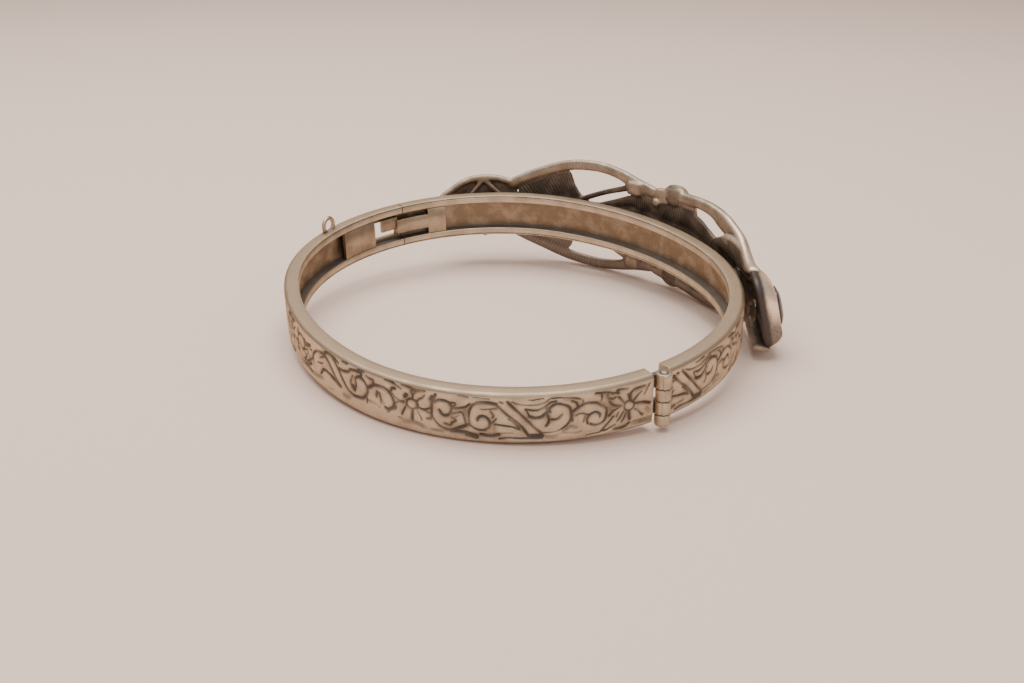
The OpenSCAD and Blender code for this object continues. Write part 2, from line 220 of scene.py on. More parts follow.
@dataclass
class MeshParts:
    """Vertices, faces and per-vertex values that grow into one mesh."""

    points: list[np.ndarray] = field(default_factory=list)
    faces: list[list[int]] = field(default_factory=list)
    values: dict[str, list[np.ndarray]] = field(default_factory=dict)
    count: int = 0

    def add(self, points: np.ndarray, faces: Sequence[Sequence[int]], **values: np.ndarray) -> None:
        """Adds one closed shell.

        Args:
            points: its vertices, one row each.
            faces: its faces, as indices into those points.
            values: named per-vertex values, such as hollow.
        """
        self.faces += [[i + self.count for i in f] for f in faces]
        self.points.append(points)
        for name in {*self.values, *values}:
            rows = self.values.setdefault(name, [np.zeros(self.count)])
            rows.append(np.asarray(values.get(name, np.zeros(len(points))), float).ravel())
        self.count += len(points)

    def loft(
        self, rings: np.ndarray, caps: bool = True, around: bool = False, **values: np.ndarray
    ) -> None:
        """Skins rings of the same number of points.

        Args:
            rings: an array of ring, point and coordinate.
            caps: whether the first and last ring are filled.
            around: whether the last ring meets the first.
            values: named values, an array of ring and point each.
        """
        n, m = rings.shape[:2]
        i, j = np.meshgrid(np.arange(n if around else n - 1), np.arange(m), indexing="ij")
        ring, next_ring = i * m, (i + 1) % n * m
        beside = (j + 1) % m
        quads = np.stack([ring + j, next_ring + j, next_ring + beside, ring + beside], -1)
        quads = quads.reshape(-1, 4).tolist()
        if caps and not around:
            quads += [list(range(m)), list(range(n * m - 1, (n - 1) * m - 1, -1))]
        self.add(rings.reshape(-1, 3), quads, **values)

    def mesh(self, name: str) -> bpy.types.Mesh:
        """The finished mesh, still in the band's own frame and millimetres.

        Args:
            name: the mesh's name.

        Returns:
            The mesh, with its faces turned outwards.
        """
        made = bpy.data.meshes.new(name)
        made.from_pydata(np.vstack(self.points).tolist(), [], self.faces)
        for key, rows in self.values.items():
            layer = made.attributes.new(key, "FLOAT", "POINT")
            layer.data.foreach_set("value", np.concatenate(rows).astype(np.float32))
        tool = bmesh.new()
        tool.from_mesh(made)
        bmesh.ops.recalc_face_normals(tool, faces=tool.faces)
        tool.to_mesh(made)
        tool.free()
        return made


def get_points(mesh: bpy.types.Mesh) -> np.ndarray:
    """A mesh's vertices, one row each.

    Args:
        mesh: the mesh to read.

    Returns:
        An array of x, y and z.
    """
    flat = np.empty(len(mesh.vertices) * 3)
    mesh.vertices.foreach_get("co", flat)
    return flat.reshape(-1, 3)


def set_points(mesh: bpy.types.Mesh, points: np.ndarray) -> None:
    """Moves a mesh's vertices to new places."""
    mesh.vertices.foreach_set("co", np.ascontiguousarray(points, np.float32).ravel())
    mesh.update()


def get_normals(mesh: bpy.types.Mesh) -> np.ndarray:
    """A mesh's vertex normals, one row each.

    Args:
        mesh: the mesh to read.

    Returns:
        An array of unit vectors.
    """
    flat = np.empty(len(mesh.vertices) * 3)
    mesh.vertices.foreach_get("normal", flat)
    return flat.reshape(-1, 3)


def set_value(mesh: bpy.types.Mesh, name: str, values: np.ndarray) -> None:
    """Keeps one number a vertex on the mesh, for the materials to read."""
    layer = mesh.attributes.get(name) or mesh.attributes.new(name, "FLOAT", "POINT")
    layer.data.foreach_set("value", np.ascontiguousarray(values, np.float32))


def softened(mesh: bpy.types.Mesh, rounds: int, share: float = 0.5) -> np.ndarray:
    """The vertices after each has moved towards its neighbours' middle.

    Args:
        mesh: the mesh, which stays as it is.
        rounds: how many times they move.
        share: how far they move towards the middle each time.

    Returns:
        The new places, one row each.
    """
    pairs = np.empty(len(mesh.edges) * 2, np.int64)
    mesh.edges.foreach_get("vertices", pairs)
    a, b = pairs.reshape(-1, 2).T
    points = get_points(mesh)
    degree = np.bincount(np.concatenate([a, b]), minlength=len(points))[:, None]
    for _ in range(rounds):
        total = np.zeros_like(points)
        for c in range(3):
            ahead, behind = (np.bincount(i, points[j, c], len(points)) for i, j in ((a, b), (b, a)))
            total[:, c] = ahead + behind
        points = points + share * (total / np.maximum(degree, 1) - points)
    return points


def hollow_of(mesh: bpy.types.Mesh, rounds: int, reach: float) -> np.ndarray:
    """How hollow the surface is at each vertex, from -1 on a crest to 1 in a recess."""
    lift = ((softened(mesh, rounds) - get_points(mesh)) * get_normals(mesh)).sum(1)
    return np.clip(lift / reach, -1, 1)


def in_scene(name: str, data: bpy.types.ID) -> bpy.types.Object:
    """A new object with its data, linked into the scene.

    Args:
        name: the object's name.
        data: its mesh, camera or light.

    Returns:
        The object.
    """
    thing = bpy.data.objects.new(name, data)
    bpy.context.scene.collection.objects.link(thing)
    return thing


def swept(turns: np.ndarray, outs: np.ndarray | Row, heights: np.ndarray | Row) -> np.ndarray:
    """Rings of a section swept along the oval, one a turn.

    Args:
        turns: the turns, in degrees, from one end to the other.
        outs: the section's distances out, one a point or a row of them a turn.
        heights: the section's heights, one a point.

    Returns:
        An array of ring, point and coordinate.
    """
    outs = np.broadcast_to(outs, (len(turns), len(heights)))
    rings = np.empty((*outs.shape, 3))
    for k, out in enumerate(outs.T):
        rings[:, k, :2] = OVAL.point(turns, out)
    rings[:, :, 2] = heights
    return rings


def laid(mesh: bpy.types.Mesh, name: str, materials: Materials) -> bpy.types.Object:
    """Lays a mesh in the model's frame, in metres, as a smooth-shaded object.

    Args:
        mesh: the mesh, in the band's own frame and millimetres.
        name: the piece's name.
        materials: its materials, in slot order.

    Returns:
        The new object, linked into the scene.
    """
    mesh.transform(Matrix.Scale(METRES, 4) @ LAY)
    for m in materials:
        mesh.materials.append(m)
    mesh.polygons.foreach_set("use_smooth", np.ones(len(mesh.polygons), bool))
    mesh.set_sharp_from_angle(angle=SHARP_ANGLE)
    return in_scene(name, mesh)


def seated(
    thing: bpy.types.Object, body: Body, nodes: Sequence[str] = ()
) -> bpy.types.Object:
    """Lets a piece ride on its body and hides the nodes it stands for.

    Args:
        thing: the finished piece.
        body: the half it rides on.
        nodes: the nodes whose place it takes.

    Returns:
        The same piece.
    """
    if nodes:
        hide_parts(*nodes)
    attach(thing, body.value)
    LOG.info("%s: %d faces on %s", thing.name, len(thing.data.polygons), body.value)
    return thing


# The frieze is charted: one line a cut, its width, then its places along the band
# and up it, from the boss of the flower left of the last one. A line that starts with ~ is
# a shallow worn patch, one with o the rings about the flowers' bosses. The pattern comes
# again from one flower to the next.
SCROLLS = """
.3 -19.1,-1.75 -18.5,-1.45 -17.8,-.95 -17.1,-.45 -16.7,.25 -16.2,.75 -15.6,1.1 -14.8,1.35 -14.1,1.39 -13.7,1.25
.2 -18.7,-.75 -18.4,-.25
.3 -18.5,.85 -17.8,.95 -17.3,1.15
.2 -17.6,.45 -17.1,.6
.24 -16.7,.15 -16.8,-.55 -16.7,-1.35
.14 -15.7,-.35 -14.9,-.15 -14.3,.05
.34 -15.2,-1.65 -14.8,-1.25 -14.5,-.85 -13.9,-.65 -13.2,-.7 -12.5,-.85
.22 -15.1,.45 -14.6,.75 -14,1.05
.35 -13.7,1.42 -13.1,.95 -12.5,.35 -11.9,-.35 -11.2,-1.05 -10.7,-1.45
.34 -13.7,1.71 -13.1,1.96 -12.3,1.93 -11.5,1.85 -10.8,1.57
.5 -12.5,-.9 -11.8,-1.1 -11.1,-1.35
.35 -12.1,1.85 -11.6,1.49 -11.2,.95 -10.8,.45 -10.3,-.25 -9.7,-.95 -9.2,-1.45
.34 -10.7,.95 -10.1,.85 -9.5,1 -9,1.15 -8.6,1.57 -8,1.71 -7.4,1.78 -6.8,1.71 -6.9,1.35
.3 -10.7,.45 -10.8,.85
.2 -10.1,2.07 -9.1,2.11
.5 -8.4,-.45 -8.2,-.7
.28 -8.3,.95 -8.6,.35 -8.8,-.15 -8.5,-.65 -8.2,-.95 -8,-.55 -7.8,.05 -7.9,.55 -7.7,.95 -7.1,1.2
.22 -7.3,2.11 -6.3,2.03
.35 -7.1,1.2 -6.5,.95 -6.1,.35 -6,-.25 -6.3,-.85 -6.8,-1.35 -7.5,-1.55 -8.3,-1.65 -9,-1.45
.18 -6.2,-.85 -6.2,-1.75
.28 -6,1.71 -5.6,1.57 -5,1.49 -5.1,.95
.34 -6,.25 -5.5,.55 -4.9,.95 -4.1,1.05
.3 -4.5,.25 -4.7,-.45
.24 -4.2,.15 -4.1,-.45 -4.1,-1.05
.34 -4.1,1.05 -3.5,1.05 -2.9,.75 -2.45,.15 -2.25,-.45 -2.35,-.95 -2.7,-1.35 -3.1,-1.55 -3.5,-1.45
.28 -3.3,2.18 -2.6,2.11 -2.1,1.96
.2 -3.2,-1.95 -2.8,-1.55 -2.35,-1.25
.3 -2.6,.85 -2.4,1.3 -1.95,1.39
.2 -2.4,.65 -1.95,.25 -1.5,.05 -.9,.05
.16 -2.2,-.75 -1.9,-.3 -1.5,-.1 -.9,-.05
.18 -2.1,1.96 -1.5,1.75 -1.2,1.57
.2 -2,-.85 -2.1,-1.25
.3 -1.1,2.14 -.6,2.07 .1,1.96
.4 -.8,.7 -.55,1
.18 -.7,-.45 -1,-1.05 -1.3,-1.65
.16 -.6,.35 -.65,-.35
.2 .1,1.96 .9,1.93 1.8,1.96
.36 .15,-.7 .05,-1.25 0,-1.9
.24 .2,.7 .25,1.05 .1,1.42 .1,1.71 .3,1.89
.34 .2,1.75 .7,1.75 1.1,1.89
.2 .3,1.25 .65,1.57
.22 .65,.55 .85,-.05 .7,-.45
.14 .7,-.75 1,-1.25 1.2,-1.75
.2 .8,.55 1.1,.9 1.35,1 1.7,1.42
.18 .9,-.25 1.5,-.35 2,-.2 2.4,.05
.16 1.1,-.35 1.7,-.5 2.3,-.8
.3 2.3,1.05 2.6,1.49
.22 2.5,-1.05 2.8,-1.55 3.3,-2.05 3.9,-2.3
.32 2.55,1.15 2.5,.55 2.45,-.05 2.4,-.65 2.35,-1.25 1.9,-1.45
.32 2.6,.75 2.8,1.35 3,1.78
.3 2.8,.85 3.3,1.15 3.9,1.2 4.4,1.05 4.7,.65 4.7,.05 4.4,-.45 3.9,-.65 3.55,-.45 3.35,-.05
.34 3.9,-2.3 4.6,-2.35 5.3,-2.05 5.9,-1.75 6.6,-1.35
.4 4.5,-2.45 5.4,-2.4 6.4,-2.45
.22 4.7,1.05 5.2,1.05 5,.65 4.75,.55
.22 4.7,-.25 5.2,-.15 5.8,.05 6.05,-.35 6.2,-1.05 6.3,-1.45
.2 4.7,-.75 5.2,-1.05 4.8,-1.35
.22 4.8,.4 5.3,.45 5.9,.6 6.4,.8 6.8,1.15
.26 4.8,-1.35 4.5,-1.75 3.9,-1.65
.1 5.1,-.65 5.6,-.35
.18 5.5,2.11 6,2.03 6.6,1.96
.62 6.4,-2.6 7.3,-2.8
.26 6.75,-1.55 6.65,-.85 6.65,-.05 6.8,.55 7.1,1.05 7.6,1.39
.24 6.75,-1.45 7.1,-1.75 7.7,-1.95 8.3,-1.95
.1 7.1,2.03 8.1,1.96 8.9,1.93
.38 7.6,1.39 8.3,1.46 9,1.42 9.6,1.3
.4 7.9,-2.5 8.9,-2.6 9.8,-2.4
.1 7.9,.6 8.7,.65
.3 8.3,-1.95 8.8,-1.55 8.9,-1.05 8.7,-.55 8.3,-.25 7.9,-.25 7.6,-.55 7.55,-.8
.18 8.8,.65 9.3,.75 9.8,.85
.2 8.9,-1.15 9.25,-.85 9.6,-.45
.24 9,.35 9.3,-.05 9.2,-.35
.22 9.4,-1.15 10,-1.25 10.7,-1.35 11.3,-1.45 12,-1.75
.28 9.6,1.25 10.2,.6 10.9,-.1 11.5,-.6 12.2,-1.35 12.8,-2.25 13,-2.65
.08 9.9,-2.25 11.3,-2.2
.24 9.9,-2.95 10.7,-2.8 11.9,-2.85 14.3,-2.9
.2 10,1.6 10.3,1.49
.28 10.8,1.64 11.4,.95 12,.3 12.5,-.25 13.1,-.95 13.7,-1.65 14.3,-2.25 14.5,-2.65
.18 10.9,-.45 11.5,-.95 12,-1.55
.14 11.3,1.64 11.8,1.39 12.4,1.25 13.5,1.2 14.2,1.3 14.9,1.57 15.2,1.85
.16 12.65,.7 12.9,.35 13.1,-.15
.24 12.7,.75 13,.65 13.7,.55 14.3,.7 14.9,1.05 15.3,1.42 15.9,1.53
.14 13,1.85 13.5,1.82 14.2,1.93 14.6,1.96
.34 13.1,-.15 13.6,-.35 14.2,-.3 14.6,-.05 14.9,.25
.6 13.2,-2.65 14.25,-2.65
.2 14.9,1.05 15,.35 15.05,-.25 15.2,-.55
.24 15.2,-.55 15.1,-1.05 14.85,-1.45
.28 15.3,.25 15.2,.65 15.5,1 16.1,1.2 16.7,1.05 17.3,.75 17.5,.25 17.55,-.35
.16 15.4,1.93 16.3,1.93 17.1,1.85
.28 15.5,-.65 15.8,-.7 16.2,-.55 16.55,-.15
.12 16.5,-1.95 15.9,-2.2 15.2,-2.25 14.6,-2.25
.24 17.1,1.85 17.9,1.71 18.5,1.53
.2 17.55,-.35 17.4,-1.05 17,-1.55 16.5,-1.95
.28 17.6,.15 17.65,-.45 17.65,-1.05
.24 17.6,1.42 18.1,1.15 18.3,.65
.3 17.7,.05 18.1,.35 18.7,.7 19.3,.9 19.9,.85 20.4,.75
.2 18.1,-.45 18.5,-.3 18.9,-.3 19.2,-.5 19.5,-.55
.16 18.8,1.42 18.85,1.05
.16 18.9,-1.35 19.1,-.65
.12 19.2,-3.1 19.9,-3.03 20.9,-2.97
.26 19.4,-1.65 19.3,-1.25 19.4,-.85 19.7,-.55 20.1,-.35 20.5,-.45 20.75,-.75 20.75,-1.05
.22 20.2,1.93 20.9,1.85 21.5,1.82 21.9,1.71 22.2,1.53 22.8,1.57
.28 20.4,.75 20.8,.45 21.2,.15 21.5,-.15 21.5,-.75 21.4,-1.35 21.1,-1.75 20.7,-1.95 20.1,-1.95 19.7,-1.75
.18 20.9,1.82 20.95,1.42 20.9,.85
.22 20.9,-2.85 21.5,-2.85 22,-2.65 22.5,-2.45
.24 21.7,1.05 22.2,.85 22.5,.95
.2 21.7,1.71 21.6,1.35
.3 21.8,.65 22,.35 22.3,.05 22.8,-.15 23.2,-.25
.22 22.3,-1.35 21.9,-1.85 21.5,-2.25 21.1,-2.65
.34 22.5,-2.95 23.2,-3 23.8,-2.9 24.2,-2.65
.22 22.7,1.85 23.3,1.82 24,1.71
.28 22.8,1.71 22.85,1.42
.18 22.9,-.95 22.7,-1.45
.2 22.9,.95 23.3,.45 23.6,.05
.28 23.2,-.25 22.8,-.45 22.2,-.75 21.8,-1.15
.2 23.5,-1.05 23.1,-1.65 22.8,-2.05
.16 23.8,-1.25 23.6,-1.85 23.3,-2.25
.22 24,1.05 24.2,.55
.3 24.2,-1.1 24.2,-1.55 24.3,-2.15
.3 24.3,.2 24.3,.75 24.4,1.15
.28 24.4,1.15 24.8,1.42 25.4,1.49 26.1,1.49
.22 24.8,.15 25.2,.55 25.7,.95
.26 24.9,-.35 25.6,-.4 26.2,-.55 26.9,-.85
.22 24.9,-1.05 25.3,-1.35 25.6,-1.75 25.9,-2.05
.22 26.1,.55 26.4,1.05 26.7,1.57
~.5 -17.5,-2.55 -14.6,-2.05
~.3 -13.5,-2.85 -12.3,-2.65
~.5 -10.4,-2.45 -9.3,-2.35
~.3 -10.1,-2.05 -8.9,-2.15
~.35 -6,-1.35 -5.2,-1.45 -4.3,-1.65
~.3 -4.1,-.35 -3.7,-.95
~.3 -1.8,-2.2 -1.3,-2.15
~.5 -1,-2.5 -.1,-2.3 .8,-2.35 1.5,-2.65
~.5 .2,1.85 1.2,1.85
~.3 2.3,-2.7 3.7,-2.7
~.5 6.2,.35 6.4,-.45 6.5,-1.15
~.5 9.3,-1.45 9.3,-2.05
~.35 14.8,.95 15.2,-.25
~.5 15,-2.85 15.9,-2.85
~.2 16.5,-2.45 17.3,-2.5 18.1,-2.65 18.7,-2.5
~.4 16.7,-2.15 17.5,-1.75 18.1,-1.95
~.4 16.9,1.71 17.7,1.57
~.6 20.9,.55 21.5,.15 22.1,-.35
~.5 21.5,1.49 21.7,.75
~.55 24.8,-2.75 27.1,-2.85
~.4 24.9,1.42 26.2,1.42
~.5 26.5,-1.45 26.9,-1.85
o.22 .05,0 24.2,-.45
"""


@dataclass(frozen=True)
class Placed:
    """Where the chart's flower lies along the band, and the run of the chart that is cut."""

    flower_at: float
    first: float = -1.2
    last: float = 23.0
    flower_up: float = 0.575


@dataclass(frozen=True)
class FriezeSizes:
    """The band's face: its height, how deep its cuts are and how their walls slope."""

    band_h: float = BAND_H
    depth: float = 0.2
    boss_r: float = 0.62
    wall_share: float = 0.55
    wall_foot: float = 0.13
    wall_run: float = 0.24
    patch: float = 0.5
    path_step: float = 0.12
    echo_from: int = 12


class Frieze:
    """Depth of the cut scrolls over one stretch of the outer face, on a grid of places."""

    def __init__(self, along: np.ndarray, up: np.ndarray, sizes: FriezeSizes) -> None:
        """Starts from a plain face.

        Args:
            along: the grid's places along the band, evenly spaced.
            up: its heights above mid height, evenly spaced.
            sizes: the face's sizes.
        """
        self.along = along
        self.up = up
        self.sizes = sizes
        self.cut_share = np.zeros((len(along), len(up)))

    def groove(self, path: np.ndarray, width: float, share: float = 1.0) -> None:
        """Cuts one groove along a path of places, deepest in its middle.

        Args:
            path: the places along the band and up it.
            width: the groove's width.
            share: its depth, as a share of the full depth.
        """
        size = self.sizes
        near = width + 0.2
        for (x0, y0), (x1, y1) in zip(path[:-1], path[1:]):
            i = slice(*np.searchsorted(self.along, [min(x0, x1) - near, max(x0, x1) + near]))
            j = slice(*np.searchsorted(self.up, [min(y0, y1) - near, max(y0, y1) + near]))
            x = self.along[i, None]
            y = self.up[None, j]
            if x.size == 0 or y.size == 0:
                continue
            dx, dy = x1 - x0, y1 - y0
            t = np.clip(((x - x0) * dx + (y - y0) * dy) / max(dx * dx + dy * dy, 1e-9), 0, 1)
            away = np.hypot(x - x0 - t * dx, y - y0 - t * dy)
            wall = width * size.wall_share + size.wall_foot - away
            wall = np.clip(wall / size.wall_run, 0, 1)
            window = self.cut_share[i, j]
            np.maximum(window, share * wall * wall * (3 - 2 * wall), out=window)

    def chart(self, placed: Placed) -> None:
        """Cuts every line of the chart that starts within the run wanted of it.

        Args:
            placed: where the chart lies and which run of it is cut.
        """
        size = self.sizes
        for line in SCROLLS.strip().splitlines():
            width, *places = line.lstrip("~o").split()
            points = [tuple(float(v) for v in place.split(",")) for place in places]
            if line.startswith("o"):
                for x, y in points:
                    if placed.first <= x < placed.last:
                        middle = (placed.flower_at + x, placed.flower_up + y)
                        self.ring(*middle, size.boss_r, float(width))
                continue
            if not placed.first <= points[0][0] < placed.last:
                continue
            path = smooth_path(points, size.path_step) + (placed.flower_at, placed.flower_up)
            patch = line.startswith("~")
            self.groove(path, float(width), size.patch if patch else 1.0)
            if not patch and len(path) > size.echo_from:
                self.echo(path)

    def echo(self, path: np.ndarray) -> None:
        """Cuts the fine shading lines that run beside the middle of a longer cut.

        Args:
            path: the cut's own places.
        """
        run = np.gradient(path, axis=0)
        side = np.stack([-run[:, 1], run[:, 0]], -1) / np.maximum(np.hypot(*run.T), 1e-6)[:, None]
        n = len(path)
        for away, first, last, width, share in (
            (0.4, n // 6, n - n // 4, 0.05, 0.3),
            (-0.42, n // 3, n - n // 6, 0.04, 0.25),
        ):
            self.groove((path + away * side)[first:last], width, share)

    def ring(self, x: float, y: float, r: float, width: float) -> None:
        """Cuts one round groove, such as the one about a flower's boss."""
        a = np.linspace(0, 2 * math.pi, 25)
        self.groove(np.stack([x + r * np.cos(a), y + r * np.sin(a)], -1), width)


class Part(Enum):
    """Which run of the band's section a stretch has."""

    WHOLE = 0
    BELOW_WINDOW = 1
    ABOVE_WINDOW = 2


@dataclass
class BandHalf:
    """One half of the channel band, swept along the oval with its frieze cut in."""

    name: str
    body: Body
    start: float
    end: float
    fields: tuple[tuple[float, float], ...]
    charts: tuple[Placed, ...]
    window: tuple[float, float] | None = None
    window_up: tuple[float, float] = (1.55, 4.2)
    wall: float = 0.8
    flange: float = 1.95
    flange_t: float = 1.1
    edge: float = 0.35
    edge_r: float = 0.6
    step: float = 0.085
    stride: float = 1.2
    inset: float = 0.01
    lip: float = 0.14
    sizes: FriezeSizes = FriezeSizes()

    def face_heights(self) -> np.ndarray:
        """The evenly spaced heights of the outer face's points."""
        h, r = self.sizes.band_h, self.edge
        return np.linspace(r, h - r, int(round((h - 2 * r) / self.step)) + 1)

    def section(self, part: Part) -> tuple[np.ndarray, np.ndarray]:
        """The section's outline.

        Args:
            part: which run of the section is wanted.

        Returns:
            Its points, as distance out and height, and for each the index of its
            height on the outer face, or -1 elsewhere.
        """
        h, r, t = self.sizes.band_h, self.edge_r, self.wall
        d, g, b = self.flange, self.flange_t, self.lip
        ups = self.face_heights()
        low, high = self.window_up
        # Columns of top and bottom: distance out from the outer face, height.
        arc = np.radians([32, 42, 52, 62, 72, 81, 90])
        top = [(r * (math.cos(a) - 1), h - r + r * math.sin(a)) for a in arc]
        top += [(-d * 0.65, h), (-d + 0.2, h), (-d + 0.06, h - 0.04), (-d + 0.04, h - 0.12)]
        top += [(-d + 0.14, h - 0.2), (-d + 0.02, h - 0.28), (-d, h - 0.36), (-d, h - g + b)]
        top += [(-d + 0.04, h - g + 0.05), (-d + b, h - g), (-t - 0.12, h - g), (-t, h - g - 0.12)]
        bottom = [(x, h - z) for x, z in reversed(top)]
        if part is Part.BELOW_WINDOW:
            keep = ups[ups <= low]
            walls = [(0, low), (-t, low)]
            rest = walls + bottom
        elif part is Part.ABOVE_WINDOW:
            keep = ups[ups >= high]
            rest = top + [(-t, high), (0, high)]
        else:
            keep = ups
            inside = [(-t, z) for z in np.linspace(h - g - 0.5, g + 0.5, 5)]
            rest = top + inside + bottom
        rise = np.maximum(abs(keep - h / 2) - (h / 2 - r), 0)
        face = list(zip(np.sqrt(r * r - rise * rise) - r, keep))
        index = [int(np.argmin(abs(ups - z))) for z in keep] + [-1] * len(rest)
        return np.array(face + rest), np.array(index)

    def frieze(self, along: np.ndarray) -> np.ndarray:
        """The depth share of the cuts at each place along and each height of the face.

        Args:
            along: the places along the band.

        Returns:
            An array of depth shares, a row for each place along.
        """
        ups = self.face_heights() - self.sizes.band_h / 2
        made = Frieze(along, ups, self.sizes)
        for placed in self.charts:
            made.chart(placed)
        turns = OVAL.turn_at(along)
        inside = np.zeros(len(along))
        for first, last in self.fields:
            fade = np.clip(np.minimum(turns - first, last - turns) / 0.3, 0, 1)
            inside = np.maximum(inside, fade)
        x, y = along[:, None], ups[None, :]
        wear = 0.8 + 0.2 * np.sin(1.9 * x + 0.7 * y) * np.sin(0.83 * x - 1.7 * y + 0.6)
        return made.cut_share * wear * inside[:, None]

    def ground(self, depth: np.ndarray) -> np.ndarray:
        """How closely the cuts crowd about each place, where tarnish stays between them.

        Args:
            depth: the cuts' depth shares.

        Returns:
            An array of shares from 0 to 1, of the same shape.
        """
        reach, spread = 6, 0.26
        bell = np.exp(-0.5 * (np.arange(-reach, reach + 1) * self.step / spread) ** 2)
        bell /= bell.sum()
        wide = np.pad(depth, reach, mode="edge")
        n, m = depth.shape
        rows = sum(share * wide[k : k + n] for k, share in enumerate(bell))
        made = sum(share * rows[:, k : k + m] for k, share in enumerate(bell))
        return np.clip((made - 0.16) * 2.2, 0, 1)

    def marks(
        self, section: np.ndarray, index: np.ndarray, depth: np.ndarray
    ) -> dict[str, np.ndarray]:
        """What the silver's materials read at each point of each ring.

        Args:
            section: the section's points, as distance out and height.
            index: for each of them its height's index on the outer face, or -1.
            depth: the depth share of the cuts at each ring and height.

        Returns:
            How dark each point is, from patina in the cuts and painted shade in the channel's inner corners,
            how filmed, and whether it is inside the channel.
        """
        out, up = section.T
        half = self.sizes.band_h / 2
        low, high = self.flange_t, self.sizes.band_h - self.flange_t
        face = index >= 0
        hollow, film = np.zeros((2, len(depth), len(section)))
        hollow[:, face] = 0.9 * depth[:, index[face]]
        film[:, face] = self.ground(depth)[:, index[face]]
        film[:, ~face & (out > -self.flange + 0.1)] = 0.85
        inner = (out < -self.wall + 0.005) & (up > low - 0.01) & (up < high + 0.01)
        seam = (abs(out + self.flange - 0.13) < 0.01) & (abs(up - half) > half - 0.25)
        hollow[:, seam] = 0.5
        # Painted shade: the channel's inner corners are darkened, most where the wall meets the lower flange.
        hollow[:, inner & (abs(up - low) < 0.15)] = 0.75
        hollow[:, inner & (abs(up - high) < 0.15)] = 0.35
        inside = np.tile(inner.astype(float), (len(depth), 1))
        return {"hollow": hollow, "film": film, "inner": inside}

    def stretch(self, parts: MeshParts, start: float, end: float, part: Part) -> None:
        """Sweeps one run of the section between two turns.

        Args:
            parts: the mesh that grows.
            start: the turn at which the run starts.
            end: the turn at which it ends.
            part: which run of the section it has.
        """
        first, last = OVAL.along_at(start), OVAL.along_at(end)
        count = int((last - first) / (self.stride * self.step)) + 2
        along = np.linspace(first, last, count)
        section, index = self.section(part)
        section[:, 0] -= self.inset
        depth = self.frieze(along)
        outs = np.tile(section[:, 0], (count, 1))
        face = index >= 0
        outs[:, face] -= depth[:, index[face]] * self.sizes.depth
        rings = swept(OVAL.turn_at(along), outs, section[:, 1])
        places = np.tile(along[:, None], (1, len(section)))
        marks = self.marks(section, index, depth)
        parts.loft(rings, along=places, up=rings[:, :, 2], **marks)

    def build(self, materials: Materials) -> bpy.types.Object:
        """Sweeps the half and lays it in place of its solid.

        Args:
            materials: the silver it is made of.

        Returns:
            The half, as one piece.
        """
        parts = MeshParts()
        if self.window:
            low, high = self.window
            self.stretch(parts, self.start, low, Part.WHOLE)
            self.stretch(parts, low, high, Part.BELOW_WINDOW)
            self.stretch(parts, low, high, Part.ABOVE_WINDOW)
            self.stretch(parts, high, self.end, Part.WHOLE)
        else:
            self.stretch(parts, self.start, self.end, Part.WHOLE)
        thing = laid(parts.mesh(self.name), self.name, materials)
        return seated(thing, self.body, [self.name.removesuffix("_dressed")])


def turned(
    profile: Sequence[Row], sides: int, seam: float = 0.0, seam_at: float = 0.0
) -> np.ndarray:
    """Rings of a turned piece about the Z axis.

    Args:
        profile: radius and height of each ring.
        sides: how many points a ring has.
        seam: depth of an upright seam in its skin.
        seam_at: the seam's direction in degrees.

    Returns:
        An array of ring, point and coordinate.
    """
    a = np.linspace(0, 2 * math.pi, sides, endpoint=False)
    off = np.degrees(np.angle(np.exp(1j * (a - math.radians(seam_at)))))
    seam_spread = 7
    dip = 1 - seam * np.exp(-((off / seam_spread) ** 2))
    rows = []
    for r, z in profile:
        rows.append(np.stack([r * dip * np.cos(a), r * dip * np.sin(a), np.full(sides, z)], -1))
    return np.array(rows)


